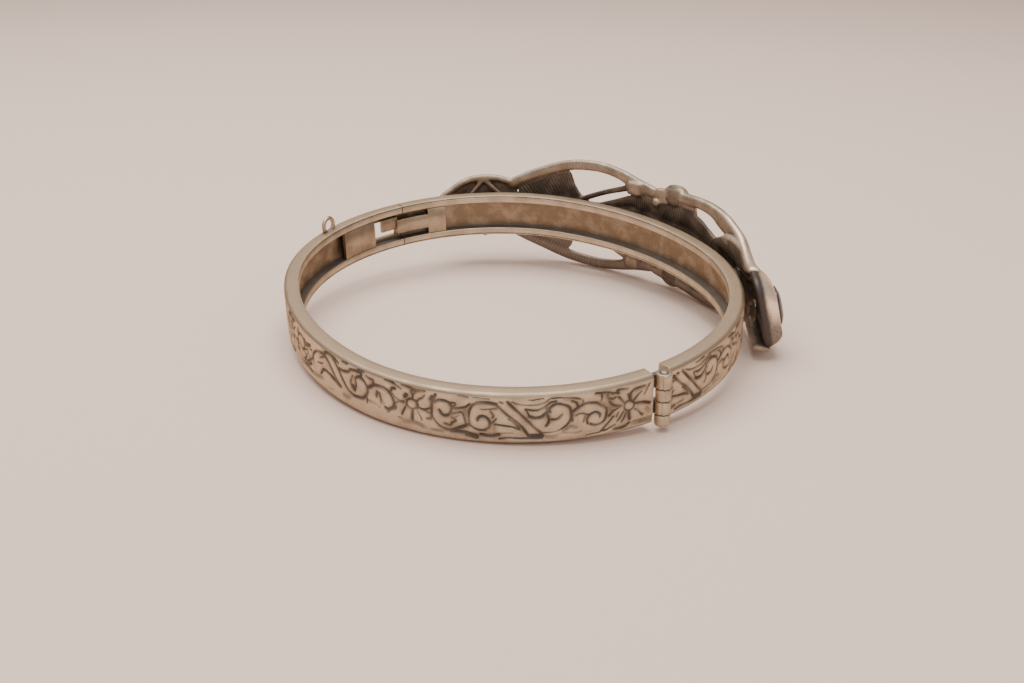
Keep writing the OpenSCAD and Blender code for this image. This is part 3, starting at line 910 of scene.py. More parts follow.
@dataclass
class Hinge:
    """The barrel of four rolled knuckles with its pin."""

    knuckle_r: float = 0.9
    pin_r: float = 0.4
    pin_out: float = 0.25
    pin_back: float = 0.3
    rise: float = 0.15
    gap: float = 0.06
    lengths: tuple[float, ...] = (1.37, 1.6, 1.45, 1.85)
    leaf_gap: float = 1.0

    def place(self, rings: np.ndarray) -> np.ndarray:
        """Moves turned rings onto the hinge's axis."""
        return rings + np.array([OVAL.half_length + self.pin_out, -self.pin_back, 0.0])

    def knuckle(self, parts: MeshParts, low: float, high: float, seam: float) -> None:
        """Adds one knuckle, worn round at its edges, with the seam of its roll.

        Args:
            parts: the mesh that grows.
            low: its lower end.
            high: its upper end.
            seam: the direction of its seam in degrees.
        """
        r, w = self.knuckle_r, 0.16
        inner = self.pin_r + 0.03
        # Columns: radius, height.
        rows = [(inner, low + 0.03), (r - w, low), (r - 0.05, low + 0.05), (r, low + w)]
        rows += [(r, low + w + (high - low - 2 * w) * z) for z in (0.25, 0.5, 0.75)]
        rows += [(r, high - w), (r - 0.05, high - 0.05), (r - w, high), (inner, high - 0.03)]
        rings = self.place(turned(rows, 72, 0.1 if seam else 0.0, seam))
        hollow = np.full(rings.shape[:2], 0.2)
        # The knuckles are darker at their ends, where they meet.
        hollow[[0, 1, -2, -1]] = np.array([0.8, 0.5, 0.5, 0.8])[:, None]
        parts.loft(rings, caps=False, around=True, hollow=hollow, up=rings[:, :, 2])

    def strap(self, parts: MeshParts, start: float, end: float, low: float, high: float) -> None:
        """Adds the tongue of sheet that runs from a half's end into a knuckle.

        Args:
            parts: the mesh that grows.
            start: the turn at its first end.
            end: the turn at its other end.
            low: its lower edge.
            high: its upper edge.
        """
        face, back = -0.15, -0.75
        outs, heights = (face, face, back, back), (low, high, high, low)
        rings = swept(np.linspace(start, end, 14), outs, heights)
        # The strap is painted dark: shade on the barrel's side, with some tarnish.
        parts.loft(rings, hollow=np.full(rings.shape[:2], 0.7))

    def levels(self) -> list[tuple[float, float]]:
        """The lowest and highest place of each knuckle, from the bottom up.

        Returns:
            A lower and an upper place for each knuckle.
        """
        low, rows = -self.rise, []
        for length in self.lengths[:-1]:
            rows.append((low, low + length))
            low += length + self.gap
        return [*rows, (low, BAND_H + self.rise)]

    def build_half(
        self, body: Body, owned: Sequence[int], materials: Materials
    ) -> bpy.types.Object:
        """Builds the knuckles and straps of one half.

        Args:
            body: the half they ride on.
            owned: which of the knuckles are this half's, counted from the bottom.
            materials: the silver they are made of.

        Returns:
            The knuckles, as one piece.
        """
        parts = MeshParts()
        side = math.degrees(math.asin(self.leaf_gap / HINGE_END_R))
        turns = (0.0, side + 0.6) if body is Body.FRONT else (360 - side - 0.8, 359.4)
        for i in owned:
            low, high = self.levels()[i]
            self.knuckle(parts, low, high, -50.0 if body is Body.BACK else -20.0)
            self.strap(parts, *turns, max(low, 0.1), min(high, BAND_H - 0.1))
        name = f"knuckles_{body.value}"
        thing = laid(parts.mesh(name), name, materials)
        return seated(thing, body)

    def build_pin(self, materials: Materials) -> bpy.types.Object:
        """Builds the pin with its two hammered ends.

        Args:
            materials: the silver it is made of.

        Returns:
            The pin, as one piece.
        """
        low, high = -self.rise - 0.08, BAND_H + self.rise + 0.08
        r = self.pin_r
        # Columns: radius, height.
        rows = [(0.02, low), (r * 0.6, low + 0.01), (r * 0.9, low + 0.05), (r, low + 0.12)]
        rows += [(r, z) for z in np.linspace(low + 0.6, high - 0.6, 8)]
        rows += [(r, high - 0.12), (r * 0.9, high - 0.05), (r * 0.6, high - 0.01), (0.02, high)]
        parts = MeshParts()
        rings = self.place(turned(rows, 40))
        parts.loft(rings, hollow=np.full(rings.shape[:2], 0.4))
        thing = laid(parts.mesh("pin_dressed"), "pin_dressed", materials)
        return seated(thing, Body.BACK, ["hinge_pin"])


@dataclass
class ChainLoop:
    """The wire loop on the upper rim that a safety chain once hung from."""

    turn: float = 208.2
    ring_r: float = 1.05
    wire_r: float = 0.3
    inside: float = 0.75
    sunk: float = 0.35

    def build(self, materials: Materials) -> bpy.types.Object:
        """Bends the wire into a slightly uneven ring, closed where it is soldered.

        Args:
            materials: the silver it is made of.

        Returns:
            The loop, as one piece.
        """
        x, y = OVAL.point(self.turn, -self.inside)[0]
        turn = math.radians(self.turn)
        around = np.array([-math.sin(turn), math.cos(turn), 0])
        out = np.array([math.cos(turn), math.sin(turn), 0])
        up = np.array([0, 0, 1])
        middle = np.array([x, y, BAND_H + self.ring_r - self.sunk])
        rings = []
        for a in np.linspace(0, 2 * math.pi, 72, endpoint=False):
            spoke = math.cos(a) * around + math.sin(a) * up
            wire = self.wire_r * (0.94 - 0.03 * math.sin(3 * a + 0.7))
            b = np.linspace(0, 2 * math.pi, 20, endpoint=False)[:, None]
            skin = wire * (np.cos(b) * spoke + np.sin(b) * out)
            rings.append(middle + self.ring_r * spoke + skin)
        parts = MeshParts()
        shape = np.array(rings)
        # The ring is darker towards its foot in the rim.
        deep = np.clip((BAND_H + 0.35 - shape[:, :, 2]) / 0.5, 0, 1)
        parts.loft(shape, caps=False, around=True, hollow=deep)
        thing = laid(parts.mesh("chain_loop"), "chain_loop", materials)
        return seated(thing, Body.BACK)


@dataclass
class CatchPiece:
    """A bent strip of the catch, with its edges broken."""

    name: str
    body: Body
    strips: tuple[tuple[float, float, float, float, float, float], ...]

    def build(self, materials: Materials) -> bpy.types.Object:
        """Sweeps each strip between its turns, from its outs and heights.

        Args:
            materials: the silver it is made of.

        Returns:
            The strips, as one piece.
        """
        parts = MeshParts()
        b = 0.06  # how far each edge is broken
        for start, end, out_a, out_b, low, high in self.strips:
            turns = np.linspace(start, end, max(8, int((end - start) * 3)))
            loop = [(out_a + b, low), (out_b - b, low), (out_b, low + b), (out_b, high - b)]
            loop += [(out_b - b, high), (out_a + b, high), (out_a, high - b), (out_a, low + b)]
            rings = swept(turns, *np.transpose(loop))
            along = np.tile(OVAL.along_at(turns)[:, None], (1, len(loop)))
            parts.loft(rings, along=along, up=rings[:, :, 2])
        name = f"{self.name}_dressed"
        thing = laid(parts.mesh(name), name, materials)
        return seated(thing, self.body, [self.name])


@dataclass(frozen=True)
class Ridge:
    """A domed line of the casting: places of turn, height, width and set-in, and its depths."""

    rows: tuple[Row, ...]
    back: float
    front: float
    crown: float = 0.6
    hatched: float = 0.0
    # light keeps a line's faces towards the band lit, free of the painted shade.
    light: bool = False


@dataclass
class Openwork:
    """The leaf ornament: lobes, fan, knobs and ribbons, cast as one piece."""

    back: float = 1.5
    front: float = 2.9
    rim_w: float = 1.7
    low_fan: float = 0.9
    voxel: float = 0.165

    def lines(self) -> list[tuple[Ridge, tuple[int, ...]]]:
        """Every ridge with the sides it lies on: 1 above mid height, -1 below, 0 on it.

        Returns:
            Each ridge with the sides it is made on.
        """
        b, f, w = self.back, self.front, self.rim_w
        # Columns: turn, height above mid height, width and, in some rows, how far the
        # ridge is set in towards the band above mid height.
        lobe = (
            (140, 3.7, w), (135, 4.9, w), (130, 5.9, w), (125, 6.8, w), (120, 7.35, w),
            (114, 7.6, w), (109, 7.1, w), (105, 6.2, w + 0.4), (101, 5.8, w),
        )  # fmt: skip
        end = (
            (99, 5.9, w), (95, 6.3, w), (91, 6.5, w), (87, 6.7, w), (83, 6.5, w + 0.3),
            (80, 5.9, w + 1), (76, 5.2, w + 1.1), (72, 4.7, w + 1, 0.1), (68, 4.1, w + 0.9, 0.4),
            (64, 3.8, w + 0.6, 0.7), (60, 3.9, w, 0.9), (56, 4.4, 1, 0.9),
        )  # fmt: skip
        fan = (
            (139, 3.6, 1.1), (142, 4.1, 1), (145, 4.5, 1), (149, 4.6, 1), (153, 4.4, 1),
            (156, 3.8, 1), (159, 2.9, 1), (161.5, 2.1, 1), (163.5, 1.1, 1), (164.3, 0, 1),
        )  # fmt: skip
        low_fan = tuple((t, h * self.low_fan, x) for t, h, x in fan)
        fan_down = ((149, 4.4, 0.8), (152, 2.7, 0.8), (154.5, 1, 0.8))
        fan_up = ((149, 4.4, 0.8), (145, 2.5, 0.8), (142, 1, 0.8))
        stem = ((119, 1.8, 0.9), (116, 2.9, 0.85), (112, 4.1, 0.85), (107, 5.4, 1))
        neck = ((114, 1.5, 1.2), (110, 2.6, 1.3), (106, 3.6, 1.8), (103, 4.2, 2), (99, 3.9, 2.4))
        leaf = (
            (99, 3.4, 2.9), (94, 3.7, 3), (89, 3.6, 2.8), (86, 2.9, 2.5), (83, 2.2, 2.2),
            (80, 1.6, 2.4), (74, 1.7, 2.6),
        )  # fmt: skip
        plate = (
            (80, 3.2, 1.4), (76.5, 3.7, 2.6), (71, 3.7, 3.2), (66, 3.3, 3.2), (61, 3.2, 2.8),
            (57, 3.6, 1.8),
        )  # fmt: skip
        low_strip = ((60, 3.9, w), (56, 4.5, 1.3), (52, 4.6, 1.1), (48.5, 4.5, 0.9))
        spine = (
            (146, 0, 3.6), (138, 0, 4.4), (128, 0, 4.6), (118, 0, 4.4), (112, 0, 5),
            (106, 0, 6.2), (98, 0, 6.4), (90, 0, 6), (84, 0, 4.6), (76, 0, 4.2), (68, 0, 4.2),
            (62, 0, 4),
        )  # fmt: skip
        both = (1, -1)
        return [
            (Ridge(lobe, b, f, 0.55, 4.2, True), both),
            (Ridge(end, b, f + 0.2, 0.6, 0.9, True), both),
            (Ridge(fan, b, f - 0.3, light=True), (1,)),
            (Ridge(low_fan, b, f - 0.3, light=True), (-1,)),
            (Ridge(fan_down, b, b + 0.9, light=True), both),
            (Ridge(fan_up, b, b + 0.9, light=True), both),
            (Ridge(stem, b + 0.1, b + 0.9), both),
            (Ridge(neck, b + 0.1, f - 0.2, 0.5, 1.4), both),
            (Ridge(leaf, b + 0.1, f - 0.2, 0.45, 1.6), both),
            (Ridge(plate, b - 0.5, b + 0.6), (1,)),
            (Ridge(low_strip, b - 0.2, f + 0.8, light=True), (-1,)),
            (Ridge(spine, b, f + 0.4, 0.35), (0,)),
        ]

    def veins(self) -> list[tuple[Ridge, tuple[int, ...]]]:
        """The thin raised veins that dress the lobes, the fan and the spine.

        Returns:
            Each vein with the sides it is made on.
        """
        b, f = self.back, self.front
        both = (1, -1)
        spine = ((147, 0, 0.5), (130, 0, 0.8), (110, 0, 1), (92, 0, 1), (76, 0, 0.8), (66, 0, 0.6))
        made = [(Ridge(spine, b + 0.9, f + 0.55, 0.3), (0,))]
        for turn in (144, 138, 132, 126, 120, 114, 107, 100, 93, 86, 79, 72):
            reach = 1.5 + 0.9 * (95 < turn < 112)
            rows = ((turn - 4, 0.2, 0.55), (turn - 2, reach * 0.55, 0.5), (turn + 0.5, reach, 0.35))
            made.append((Ridge(rows, b + 0.8, f + 0.45, 0.4), both))
        for i in range(9):
            turn = 138.5 - 1.75 * i
            foot, tip = (turn - 1.2, 1.2, 0.45), (turn + 0.5, 3.6 + 0.33 * i, 0.35)
            rows = (foot, (turn - 0.4, 2.6 + 0.16 * i, 0.4), tip)
            made.append((Ridge(rows, b + 0.6, b + 1.25, 0.4), both))
        return made

    def place(self, turn: np.ndarray, up: np.ndarray, out: np.ndarray) -> np.ndarray:
        """Points at turns, heights above mid height and distances from the band.

        Args:
            turn: the outward turns in degrees.
            up: the heights above mid height.
            out: the distances from the band's outer face.

        Returns:
            The points, with one more axis of x, y and z.
        """
        flat = [np.ravel(v) for v in np.broadcast_arrays(turn, up, out)]
        plan = OVAL.point(flat[0], flat[2])
        made = np.column_stack([plan, flat[1] + MID_H])
        return made.reshape(*np.broadcast(turn, up, out).shape, 3)

    def ridge(self, parts: MeshParts, line: Ridge, side: int) -> np.ndarray:
        """Adds one ridge as a closed shell with round ends.

        Args:
            parts: the mesh that grows.
            line: the ridge.
            side: 1 above mid height, -1 below it and 0 on it.

        Returns:
            Its middle line, as turn, height and width.
        """
        sign = side or 1
        turn_share, slimmest = 0.5, 0.3
        rows = []
        for t, h, w, *set_in in line.rows:
            rows.append((t * turn_share, h, w, set_in[0] if set_in and side >= 0 else 0))
        path = smooth_path(rows, 0.25)
        turn, up = path[:, 0] / turn_share, path[:, 1]
        width, set_in = np.maximum(path[:, 2], slimmest), path[:, 3]
        run, rise = np.gradient(turn) * MM_A_DEGREE, np.gradient(up)
        size = np.maximum(np.hypot(run, rise), 1e-6)
        across_t, across_u = -rise / size / MM_A_DEGREE, run / size
        # Columns: share of the width to one side, share of the depth.
        half = [
            (0.18, 0.97), (0.35, 0.85), (0.45, 0.66), (0.5, 0.48), (0.49, 0.32), (0.43, 0.17),
            (0.32, 0.07), (0.16, 0.01),
        ]  # fmt: skip
        share = np.array([(0, 1), *half, (0, 0), *((-x, z) for x, z in reversed(half))])
        tall = np.maximum(share[:, 1], 0)
        slim = np.where(tall > 0.1, 1 - (1 - line.crown) * (tall - 0.1) * 0.6, 1)
        u, v = share[:, 0] * slim, share[:, 1]
        deep = line.front - line.back
        cap = np.sqrt(np.clip(1 - np.linspace(1, 0, 5) ** 2, 0.02, 1))
        blocks = []
        for index, shift, shrink in (
            (0, -np.linspace(0.5, 0, 5), cap),
            (-1, np.linspace(0, 0.5, 5), cap[::-1]),
        ):
            w = width[index]
            t = turn[index] + shift * w * run[index] / size[index] / MM_A_DEGREE
            h = up[index] + shift * w * rise[index] / size[index]
            tt = t[:, None] + across_t[index] * u * w * shrink[:, None]
            hh = h[:, None] + across_u[index] * u * w * shrink[:, None]
            out = deep * (0.5 + (v - 0.5) * np.sqrt(shrink)[:, None])
            blocks.append((tt, hh, line.back - set_in[index] + out))
        tt = turn[:, None] + across_t[:, None] * u * width[:, None]
        hh = up[:, None] + across_u[:, None] * u * width[:, None]
        blocks.insert(1, (tt, hh, line.back - set_in[:, None] + deep * v[None, :]))
        rings = np.concatenate([self.place(t, sign * h, out) for t, h, out in blocks])
        parts.loft(rings)
        return np.column_stack([turn, sign * up, width])

    def boss(
        self,
        parts: MeshParts,
        turn: float,
        up: float,
        wide: float,
        back: float,
        front: float,
        crown: float,
        squared: bool = False,
    ) -> np.ndarray:
        """Adds one domed knob that stands out from the band.

        Args:
            parts: the mesh that grows.
            turn: the knob's place along the band.
            up: its height above mid height.
            wide: its width.
            back: its distance from the band at its foot.
            front: its distance from the band at its crest.
            crown: the share of its width left near the crest.
            squared: whether its outline is nearly square.

        Returns:
            Its place, as one row of turn, height and width.
        """
        deep, sides = front - back, 32
        # Columns: share of the width, share of the depth.
        rows = [(0.02, 0.0), (0.2, 0.01), (0.36, 0.06), (0.46, 0.16), (0.5, 0.34)]
        rows += [(0.5 * (crown + 1) / 2, 0.68), (0.5 * crown, 0.88), (0.25 * crown, 0.98)]
        rows += [(0.02, 1.0)]
        a = np.linspace(0, 2 * math.pi, sides, endpoint=False)
        square = np.maximum(abs(np.cos(a)), abs(np.sin(a))) ** -(0.8 * squared)
        x, y = wide * square * np.cos(a) / MM_A_DEGREE, wide * square * np.sin(a)
        rings = [
            self.place(turn + r * x, up + r * y, np.full(sides, back + deep * z)) for r, z in rows
        ]
        parts.loft(np.array(rings))
        return np.array([(turn, up, wide)])

    def web(
        self,
        parts: MeshParts,
        rows: Sequence[tuple[Row, Row]],
        back: float,
        front: float,
        side: int,
    ) -> None:
        """Adds a thin plate between pairs of places.

        Args:
            parts: the mesh that grows.
            rows: the two edges' places, a pair of turn and height for each step.
            back: the plate's distance from the band.
            front: the distance of its outer face.
            side: 1 above mid height and -1 below it.
        """
        t = np.linspace(0, 1, 16)
        path = smooth_path([(*a[:2], *b[:2]) for a, b in rows], 0.5)
        turns = path[:, 0, None] * (1 - t) + path[:, 2, None] * t
        ups = side * (path[:, 1, None] * (1 - t) + path[:, 3, None] * t)
        skin = [self.place(turns, ups, np.full(turns.shape, out)) for out in (front, back)]
        rings = np.concatenate([skin[0], skin[1][:, ::-1]], axis=1)
        parts.loft(rings)

    def webs(self) -> list[tuple[list[tuple[Row, Row]], float, float]]:
        """The thin plates of each half: their edges' places and their depths.

        Returns:
            For each plate its rows of edge places, its back and its front.
        """
        b = self.back
        # Columns: turn and height of the one edge, turn and height of the other.
        leaf = [
            ((139, 3.6), (137, 1)), ((135, 4.9), (133, 1)), ((130, 5.9), (128.5, 1)),
            ((126, 6.4), (124, 1)), ((123.8, 6.4), (122.5, 1)), ((122, 5.9), (120.5, 1)),
            ((121.2, 5), (119, 1)), ((120.4, 4), (118, 1)), ((119, 3), (117, 1)),
            ((117, 2.1), (116.2, 1)),
        ]  # fmt: skip
        knob = [
            ((96, 6), (96, 3.6)), ((92, 6.2), (91.5, 3.6)), ((90, 6.2), (89.4, 3.7)),
            ((89.2, 5.9), (88.9, 4.2)),
        ]  # fmt: skip
        shoulder = [
            ((75.6, 4.3), (75.9, 2.9)), ((75, 5), (74.6, 1.8)), ((72, 4.4), (71, 1.5)),
            ((67, 4), (66, 1.4)), ((61, 3.9), (61, 1.4)),
        ]  # fmt: skip
        return [(leaf, b + 0.4, b + 1), (knob, b + 0.3, b + 1), (shoulder, b + 0.2, b + 0.8)]

    def shell(self) -> tuple[bpy.types.Mesh, list[Reach], list[np.ndarray], list[Reach]]:
        """Every ridge, knob, web and foot, before they are cast into one skin.

        Returns:
            The mesh, the ribbed lines with how far their ribs reach, the lines that are lit on
            both faces and kept free of painted shade, and the darkened knobs with how far they reach.
        """
        parts = MeshParts()
        hatched, light, dull = [], [], []
        for line, sides in [*self.lines(), *self.veins()]:
            for side in sides:
                middle = self.ridge(parts, line, side)
                if line.hatched:
                    hatched.append((middle, line.hatched))
                if line.light and side >= 0:
                    light.append(middle)
        b, f = self.back, self.front
        for side in (1, -1):
            for rows, low, high in self.webs():
                self.web(parts, rows, low, high, side)
            # These two knobs are lit, free of the painted shade on their faces towards the band.
            light += [
                self.boss(parts, 105, side * 5.7, 2.2, b - 0.5, f + 0.4, 0.8, True),
                self.boss(parts, 99.3, side * 4.6, 1.3, b - 0.45, f, 0.75),
            ]
            # The big knob is darkened all over.
            big = self.boss(parts, 95, side * (6.1 + 0.1 * side), 3.3, b, f + 1, 0.6)
            dull.append((big, 1.9))
            for turn, up, wide, back, front in (
                (101.5, 3.9, 2.6, b + 0.2, f),
                (103.5, 3.2, 1.6, b + 0.1, b + 1),
                (97.6, 5.2, 1.8, b, f),
            ):
                self.boss(parts, turn, side * up, wide, back, front, 0.8)
        tall = ((139, 3.6), (145, 4.4), (151, 4.5), (156, 3.7), (160, 2.5), (163.5, 1))
        fan = [((t, h), (t, -h * self.low_fan)) for t, h in tall]
        self.web(parts, fan, b + 0.7, b + 1.2, 1)
        solder_pads = (138, 113, 92, 70)
        for turn in solder_pads:
            self.boss(parts, turn, 0, 3, 0.06, b + 0.3, 0.95)
        self.boss(parts, 54, -0.6, 3, b - 0.1, b + 0.5, 0.6)
        return parts.mesh("openwork"), hatched, light, dull

    def cast(self, mesh: bpy.types.Mesh) -> bpy.types.Mesh:
        """Fuses the shells into one even skin.

        Args:
            mesh: the loose shells.

        Returns:
            One closed mesh.
        """
        thing = in_scene("casting", mesh)
        remesh = thing.modifiers.new("fuse", "REMESH")
        remesh.mode = "VOXEL"
        remesh.voxel_size = self.voxel
        view = bpy.context.evaluated_depsgraph_get()
        made = bpy.data.meshes.new_from_object(thing.evaluated_get(view))
        bpy.data.objects.remove(thing)
        return made

    def beside(self, points: np.ndarray, lines: Sequence[Reach]) -> np.ndarray:
        """How near each point lies to one of several lines.

        Args:
            points: places in the band's own frame.
            lines: middle lines of turn, height and width, each with its reach.

        Returns:
            Two rows: nearness from 0 to 1, and the distance along the nearest line.
        """
        along = OVAL.along_at(np.degrees(np.arctan2(points[:, 1], points[:, 0])) % 360)
        up = points[:, 2] - MID_H
        half_out, fade = 2.2, 0.25
        made = np.zeros((2, len(points)))
        for line, reach in lines:
            centre = np.degrees(np.arctan2(*OVAL.point(line[:, 0], half_out).T[::-1]))
            x, y = OVAL.along_at(centre % 360), line[:, 1]
            length = np.concatenate([[0], np.cumsum(np.hypot(np.diff(x), np.diff(y)))])
            index = np.flatnonzero((along > x.min() - reach - 1) & (along < x.max() + reach + 1))
            away = np.hypot(along[index, None] - x, up[index, None] - y)
            best = away.argmin(1)
            near = np.clip((reach - away[np.arange(len(index)), best]) / fade, 0, 1)
            better = near > made[0, index]
            made[0, index[better]] = near[better]
            made[1, index[better]] = length[best][better]
        return made

    def marks(
        self, mesh: bpy.types.Mesh, hatched: list[Reach], light: list[np.ndarray], dull: list[Reach]
    ) -> dict[str, np.ndarray]:
        """What the cast silver's materials read at each vertex.

        Args:
            mesh: the fused casting.
            hatched: the ribbed lines with how far their ribs reach.
            light: the lines that are lit on both faces and kept free of painted shade.
            dull: the knobs that are darkened all over, with how far they reach.

        Returns:
            The values by name: the hollows with painted shade behind the plate and by the setting, the film
                with painted light on the strip, the painted shade on the face towards the band, and the ribs.
        """
        normals, points = get_normals(mesh), get_points(mesh)
        x, y, z = points.T
        turn = np.degrees(np.arctan2(y, x)) % 360
        outward = (normals[:, :2] * points[:, :2]).sum(1) / np.hypot(x, y)
        facing_up = np.clip((normals[:, 2] - 0.2) / 0.25, 0, 1)
        strip_from, plate_from, setting_from = 75, 72, 59
        on_strip = np.clip((strip_from - turn) / 4, 0, 1)
        on_plate = np.clip((plate_from - turn) / 4, 0, 1)
        by_setting = np.clip((setting_from - turn) / 3, 0, 1)
        below = z < MID_H
        # Painted shade: the faces that turn towards the band are darkened, less below mid height, and not on
        # the lit lines gathered in worn nor on the strip's upward faces.
        worn = [(line, 0.62 * float(line[:, 2].mean())) for line in light]
        inner = np.clip((0.15 - outward) / 0.5, 0, 1) * (1 - 0.92 * self.beside(points, worn)[0])
        inner *= np.where(below, 0.6, 1)
        inner *= 1 - on_strip * facing_up
        ribs, rib_at = self.beside(points, hatched)
        # The big knobs are darkened all over.
        knobs = self.beside(points, dull)[0]
        # Painted light: the strip's upper faces that turn upward get less film and less shade.
        strip = facing_up * (z > MID_H + 1.5) * on_strip
        # Painted shade on the plate's faces towards the band and next to the setting.
        facing_band = np.clip((0.35 - outward) / 0.3, 0, 1) * on_plate
        behind = np.maximum(facing_band, by_setting) * (1 - strip)
        hollow = hollow_of(mesh, 14, 0.16) * (1 - 0.8 * strip)
        return {
            "hollow": hollow + 0.45 * knobs * (1 - strip) + 0.6 * behind,
            "film": 0.66 - 0.62 * strip,
            "inner": inner,
            "along": OVAL.along_at(turn),
            "up": z,
            "ribs": ribs * (0.12 + 0.88 * inner) * np.where(below, 0.5, 0.9),
            "rib_at": rib_at,
        }

    def build(self, materials: Materials) -> bpy.types.Object:
        """Casts and lays the openwork in place of its solid, with painted shade towards the band.

        Args:
            materials: the silver it is made of.

        Returns:
            The openwork, as one piece.
        """
        loose, *lines = self.shell()
        mesh = self.cast(loose)
        set_points(mesh, softened(mesh, 2, 0.5))
        for name, values in self.marks(mesh, *lines).items():
            set_value(mesh, name, values)
        thing = laid(mesh, "openwork_dressed", materials)
        return seated(thing, Body.FRONT, ["ornament"])


@dataclass
class Setting:
    """The smooth cushion-shaped setting, closed behind, and the stone in it."""

    turn: float = 54.3
    back: float = 1.8
    front: float = 4.3
    foot: tuple[float, float] = (7.2, 9.8)
    edge: tuple[float, float] = (5.2, 6.6)
    stone: tuple[float, float] = (3.7, 4.6)
    edge_drop: float = 0.7
    stone_drop: float = 0.25
    tilt: float = 13.0
    floor: float = 2.8
    rise: float = 0.6
    foot_cut: float = 2.2
    edge_cut: float = 1.6
    stone_cut: float = 1.2
    corner_points: int = 24
    bow: float = 0.06

    def frame(self) -> np.ndarray:
        """The setting's own axes in the band's frame: x along the band, y up, z out.

        Returns:
            The matrix of those axes.
        """
        middle = (self.back + self.front) / 2
        x, y = OVAL.point(self.turn, middle)[0]
        turn, tilt = math.radians(90 + self.turn), math.radians(-self.tilt)
        made = Matrix.Translation((x, y, MID_H))
        made @= Matrix.Rotation(turn, 4, "Z") @ Matrix.Rotation(math.pi / 2, 4, "X")
        made @= Matrix.Rotation(tilt, 4, "X") @ Matrix.Translation((0, 0, -middle))
        return np.array(made)

    def outline(self, wide: float, tall: float, cut: float) -> np.ndarray:
        """A cushion with well rounded corners.

        Args:
            wide: its width.
            tall: its height.
            cut: how much of each side its corner takes.

        Returns:
            Its points round about, one row each.
        """
        a = np.linspace(0, math.pi / 2, self.corner_points)
        corner = np.stack([np.cos(a) ** 0.9, np.sin(a) ** 0.9], -1) * cut
        x = wide / 2 - cut + corner[:, 0] - self.bow * np.sin(a) ** 2
        y = tall / 2 - cut + corner[:, 1] - self.bow * np.cos(a) ** 2
        quarters = [(x, y), (-x[::-1], y[::-1]), (-x, -y), (x[::-1], -y[::-1])]
        return np.concatenate([np.stack(q, -1) for q in quarters])

    def rings(self, levels: Sequence[Row]) -> np.ndarray:
        """Rings from width, height, corner, distance out and drop, laid on the band.

        Args:
            levels: a row of those five numbers for each ring.

        Returns:
            An array of ring, point and coordinate.
        """
        rows = []
        for wide, tall, cut, out, drop in levels:
            flat = self.outline(wide, tall, cut) - (0, drop)
            rows.append(np.column_stack([flat, np.full(len(flat), out)]))
        matrix = self.frame()
        return np.array(rows) @ matrix[:3, :3].T + matrix[:3, 3]

    def between(self, share: float, out: float, bulge: float = 0.0) -> Row:
        """One level of the outer wall, part of the way from its foot to its edge.

        Args:
            share: how far from the foot to the edge.
            out: the level's distance out.
            bulge: how much wider and taller than a straight wall it is.

        Returns:
            The level's width, height, corner, distance out and drop.
        """
        wide = self.foot[0] * (1 - share) + self.edge[0] * share + bulge
        tall = self.foot[1] * (1 - share) + self.edge[1] * share + bulge
        cut = self.foot_cut * (1 - share) + self.edge_cut * share
        return wide, tall, cut, out, self.edge_drop * share

    def build_metal(self, materials: Materials) -> bpy.types.Object:
        """Lofts the setting: its closed back, its wall, its rubbed-over edge and its seat.

        Args:
            materials: the silver it is made of.

        Returns:
            The setting, as one piece.
        """
        w, h = self.foot
        f, front, back = self.foot_cut, self.front, self.back
        seat_w, seat_h = self.stone[0] + 0.1, self.stone[1] + 0.1
        c, low = self.stone_cut, self.stone_drop
        # Columns: width, height, corner, distance out, drop.
        closed_back = [
            (w - 5, h - 5, f - 1.2, back + 0.2, 0), (w - 3.4, h - 3.4, f - 1, back + 0.16, 0),
            (w - 2.4, h - 2.4, f - 0.6, back + 0.1, 0), (w - 1.6, h - 1.6, f - 0.3, back + 0.03, 0),
            (w - 0.5, h - 0.5, f, back, 0), (w - 0.14, h - 0.14, f, back + 0.08, 0),
        ]  # fmt: skip
        wall = [
            (w - 0.01, h - 0.01, f, back + 0.25, 0), (w - 0.01, h - 0.01, f, back + 0.55, 0),
            self.between(0.1, 2.68), self.between(0.2, 2.95), self.between(0.4, front - 0.85, 0.04),
            self.between(0.68, front - 0.42, 0.06), self.between(0.9, front - 0.16, 0.04),
            self.between(1, front - 0.04),
        ]  # fmt: skip
        edge = [
            (self.edge[0] - 0.25, self.edge[1] - 0.25, self.edge_cut, front, 0.7),
            (seat_w + 0.55, seat_h + 0.6, c + 0.2, front - 0.02, 0.45),
        ]
        seat = [
            (seat_w + 0.2, seat_h + 0.2, c + 0.1, front - 0.16, 0.28),
            (seat_w, seat_h, c, front - 0.45, low),
            (seat_w, seat_h, c, self.floor, low),
        ]
        levels = [*closed_back, *wall, *edge, *seat]
        rings = self.rings(levels)
        up = rings[:, :, 2]
        hollow = np.zeros(rings.shape[:2])
        # Painted shade on the closed back and the wall's rear.
        hollow[:10] = np.array([*[0.95] * 7, 0.9, 0.75, 0.4])[:, None]
        # The wall is darker towards the bottom.
        grey_foot = 0.55 * np.clip((1.7 - up[9:15]) / 0.8, 0, 1)
        hollow[9:15] = np.maximum(hollow[9:15], grey_foot)
        hollow[-3:] = 0.8
        # More film towards the bottom, so the setting is darker there.
        film = np.clip(0.9 - (up - 0.3) / 2.4, 0, 0.9)
        count = rings.shape[1]
        across = np.tile(np.linspace(0, 26, count, endpoint=False), (len(levels), 1))
        out = np.tile(np.array([level[3] for level in levels])[:, None], (1, count))
        parts = MeshParts()
        parts.loft(rings, hollow=hollow, film=film, along=across, up=out)
        thing = laid(parts.mesh("setting"), "setting", materials)
        soften = thing.modifiers.new("soften", "SUBSURF")
        soften.levels = soften.render_levels = 1
        return seated(thing, Body.FRONT, ["ornament"])

    def build_stone(self, materials: Materials) -> bpy.types.Object:
        """Lofts the stone: girdle, crown steps and a table that is hardly domed.

        Args:
            materials: the onyx it is made of.

        Returns:
            The stone, as one piece.
        """
        w, h = self.stone
        girdle, table = self.front + 0.25, self.front + self.rise
        c, low = self.stone_cut, self.stone_drop
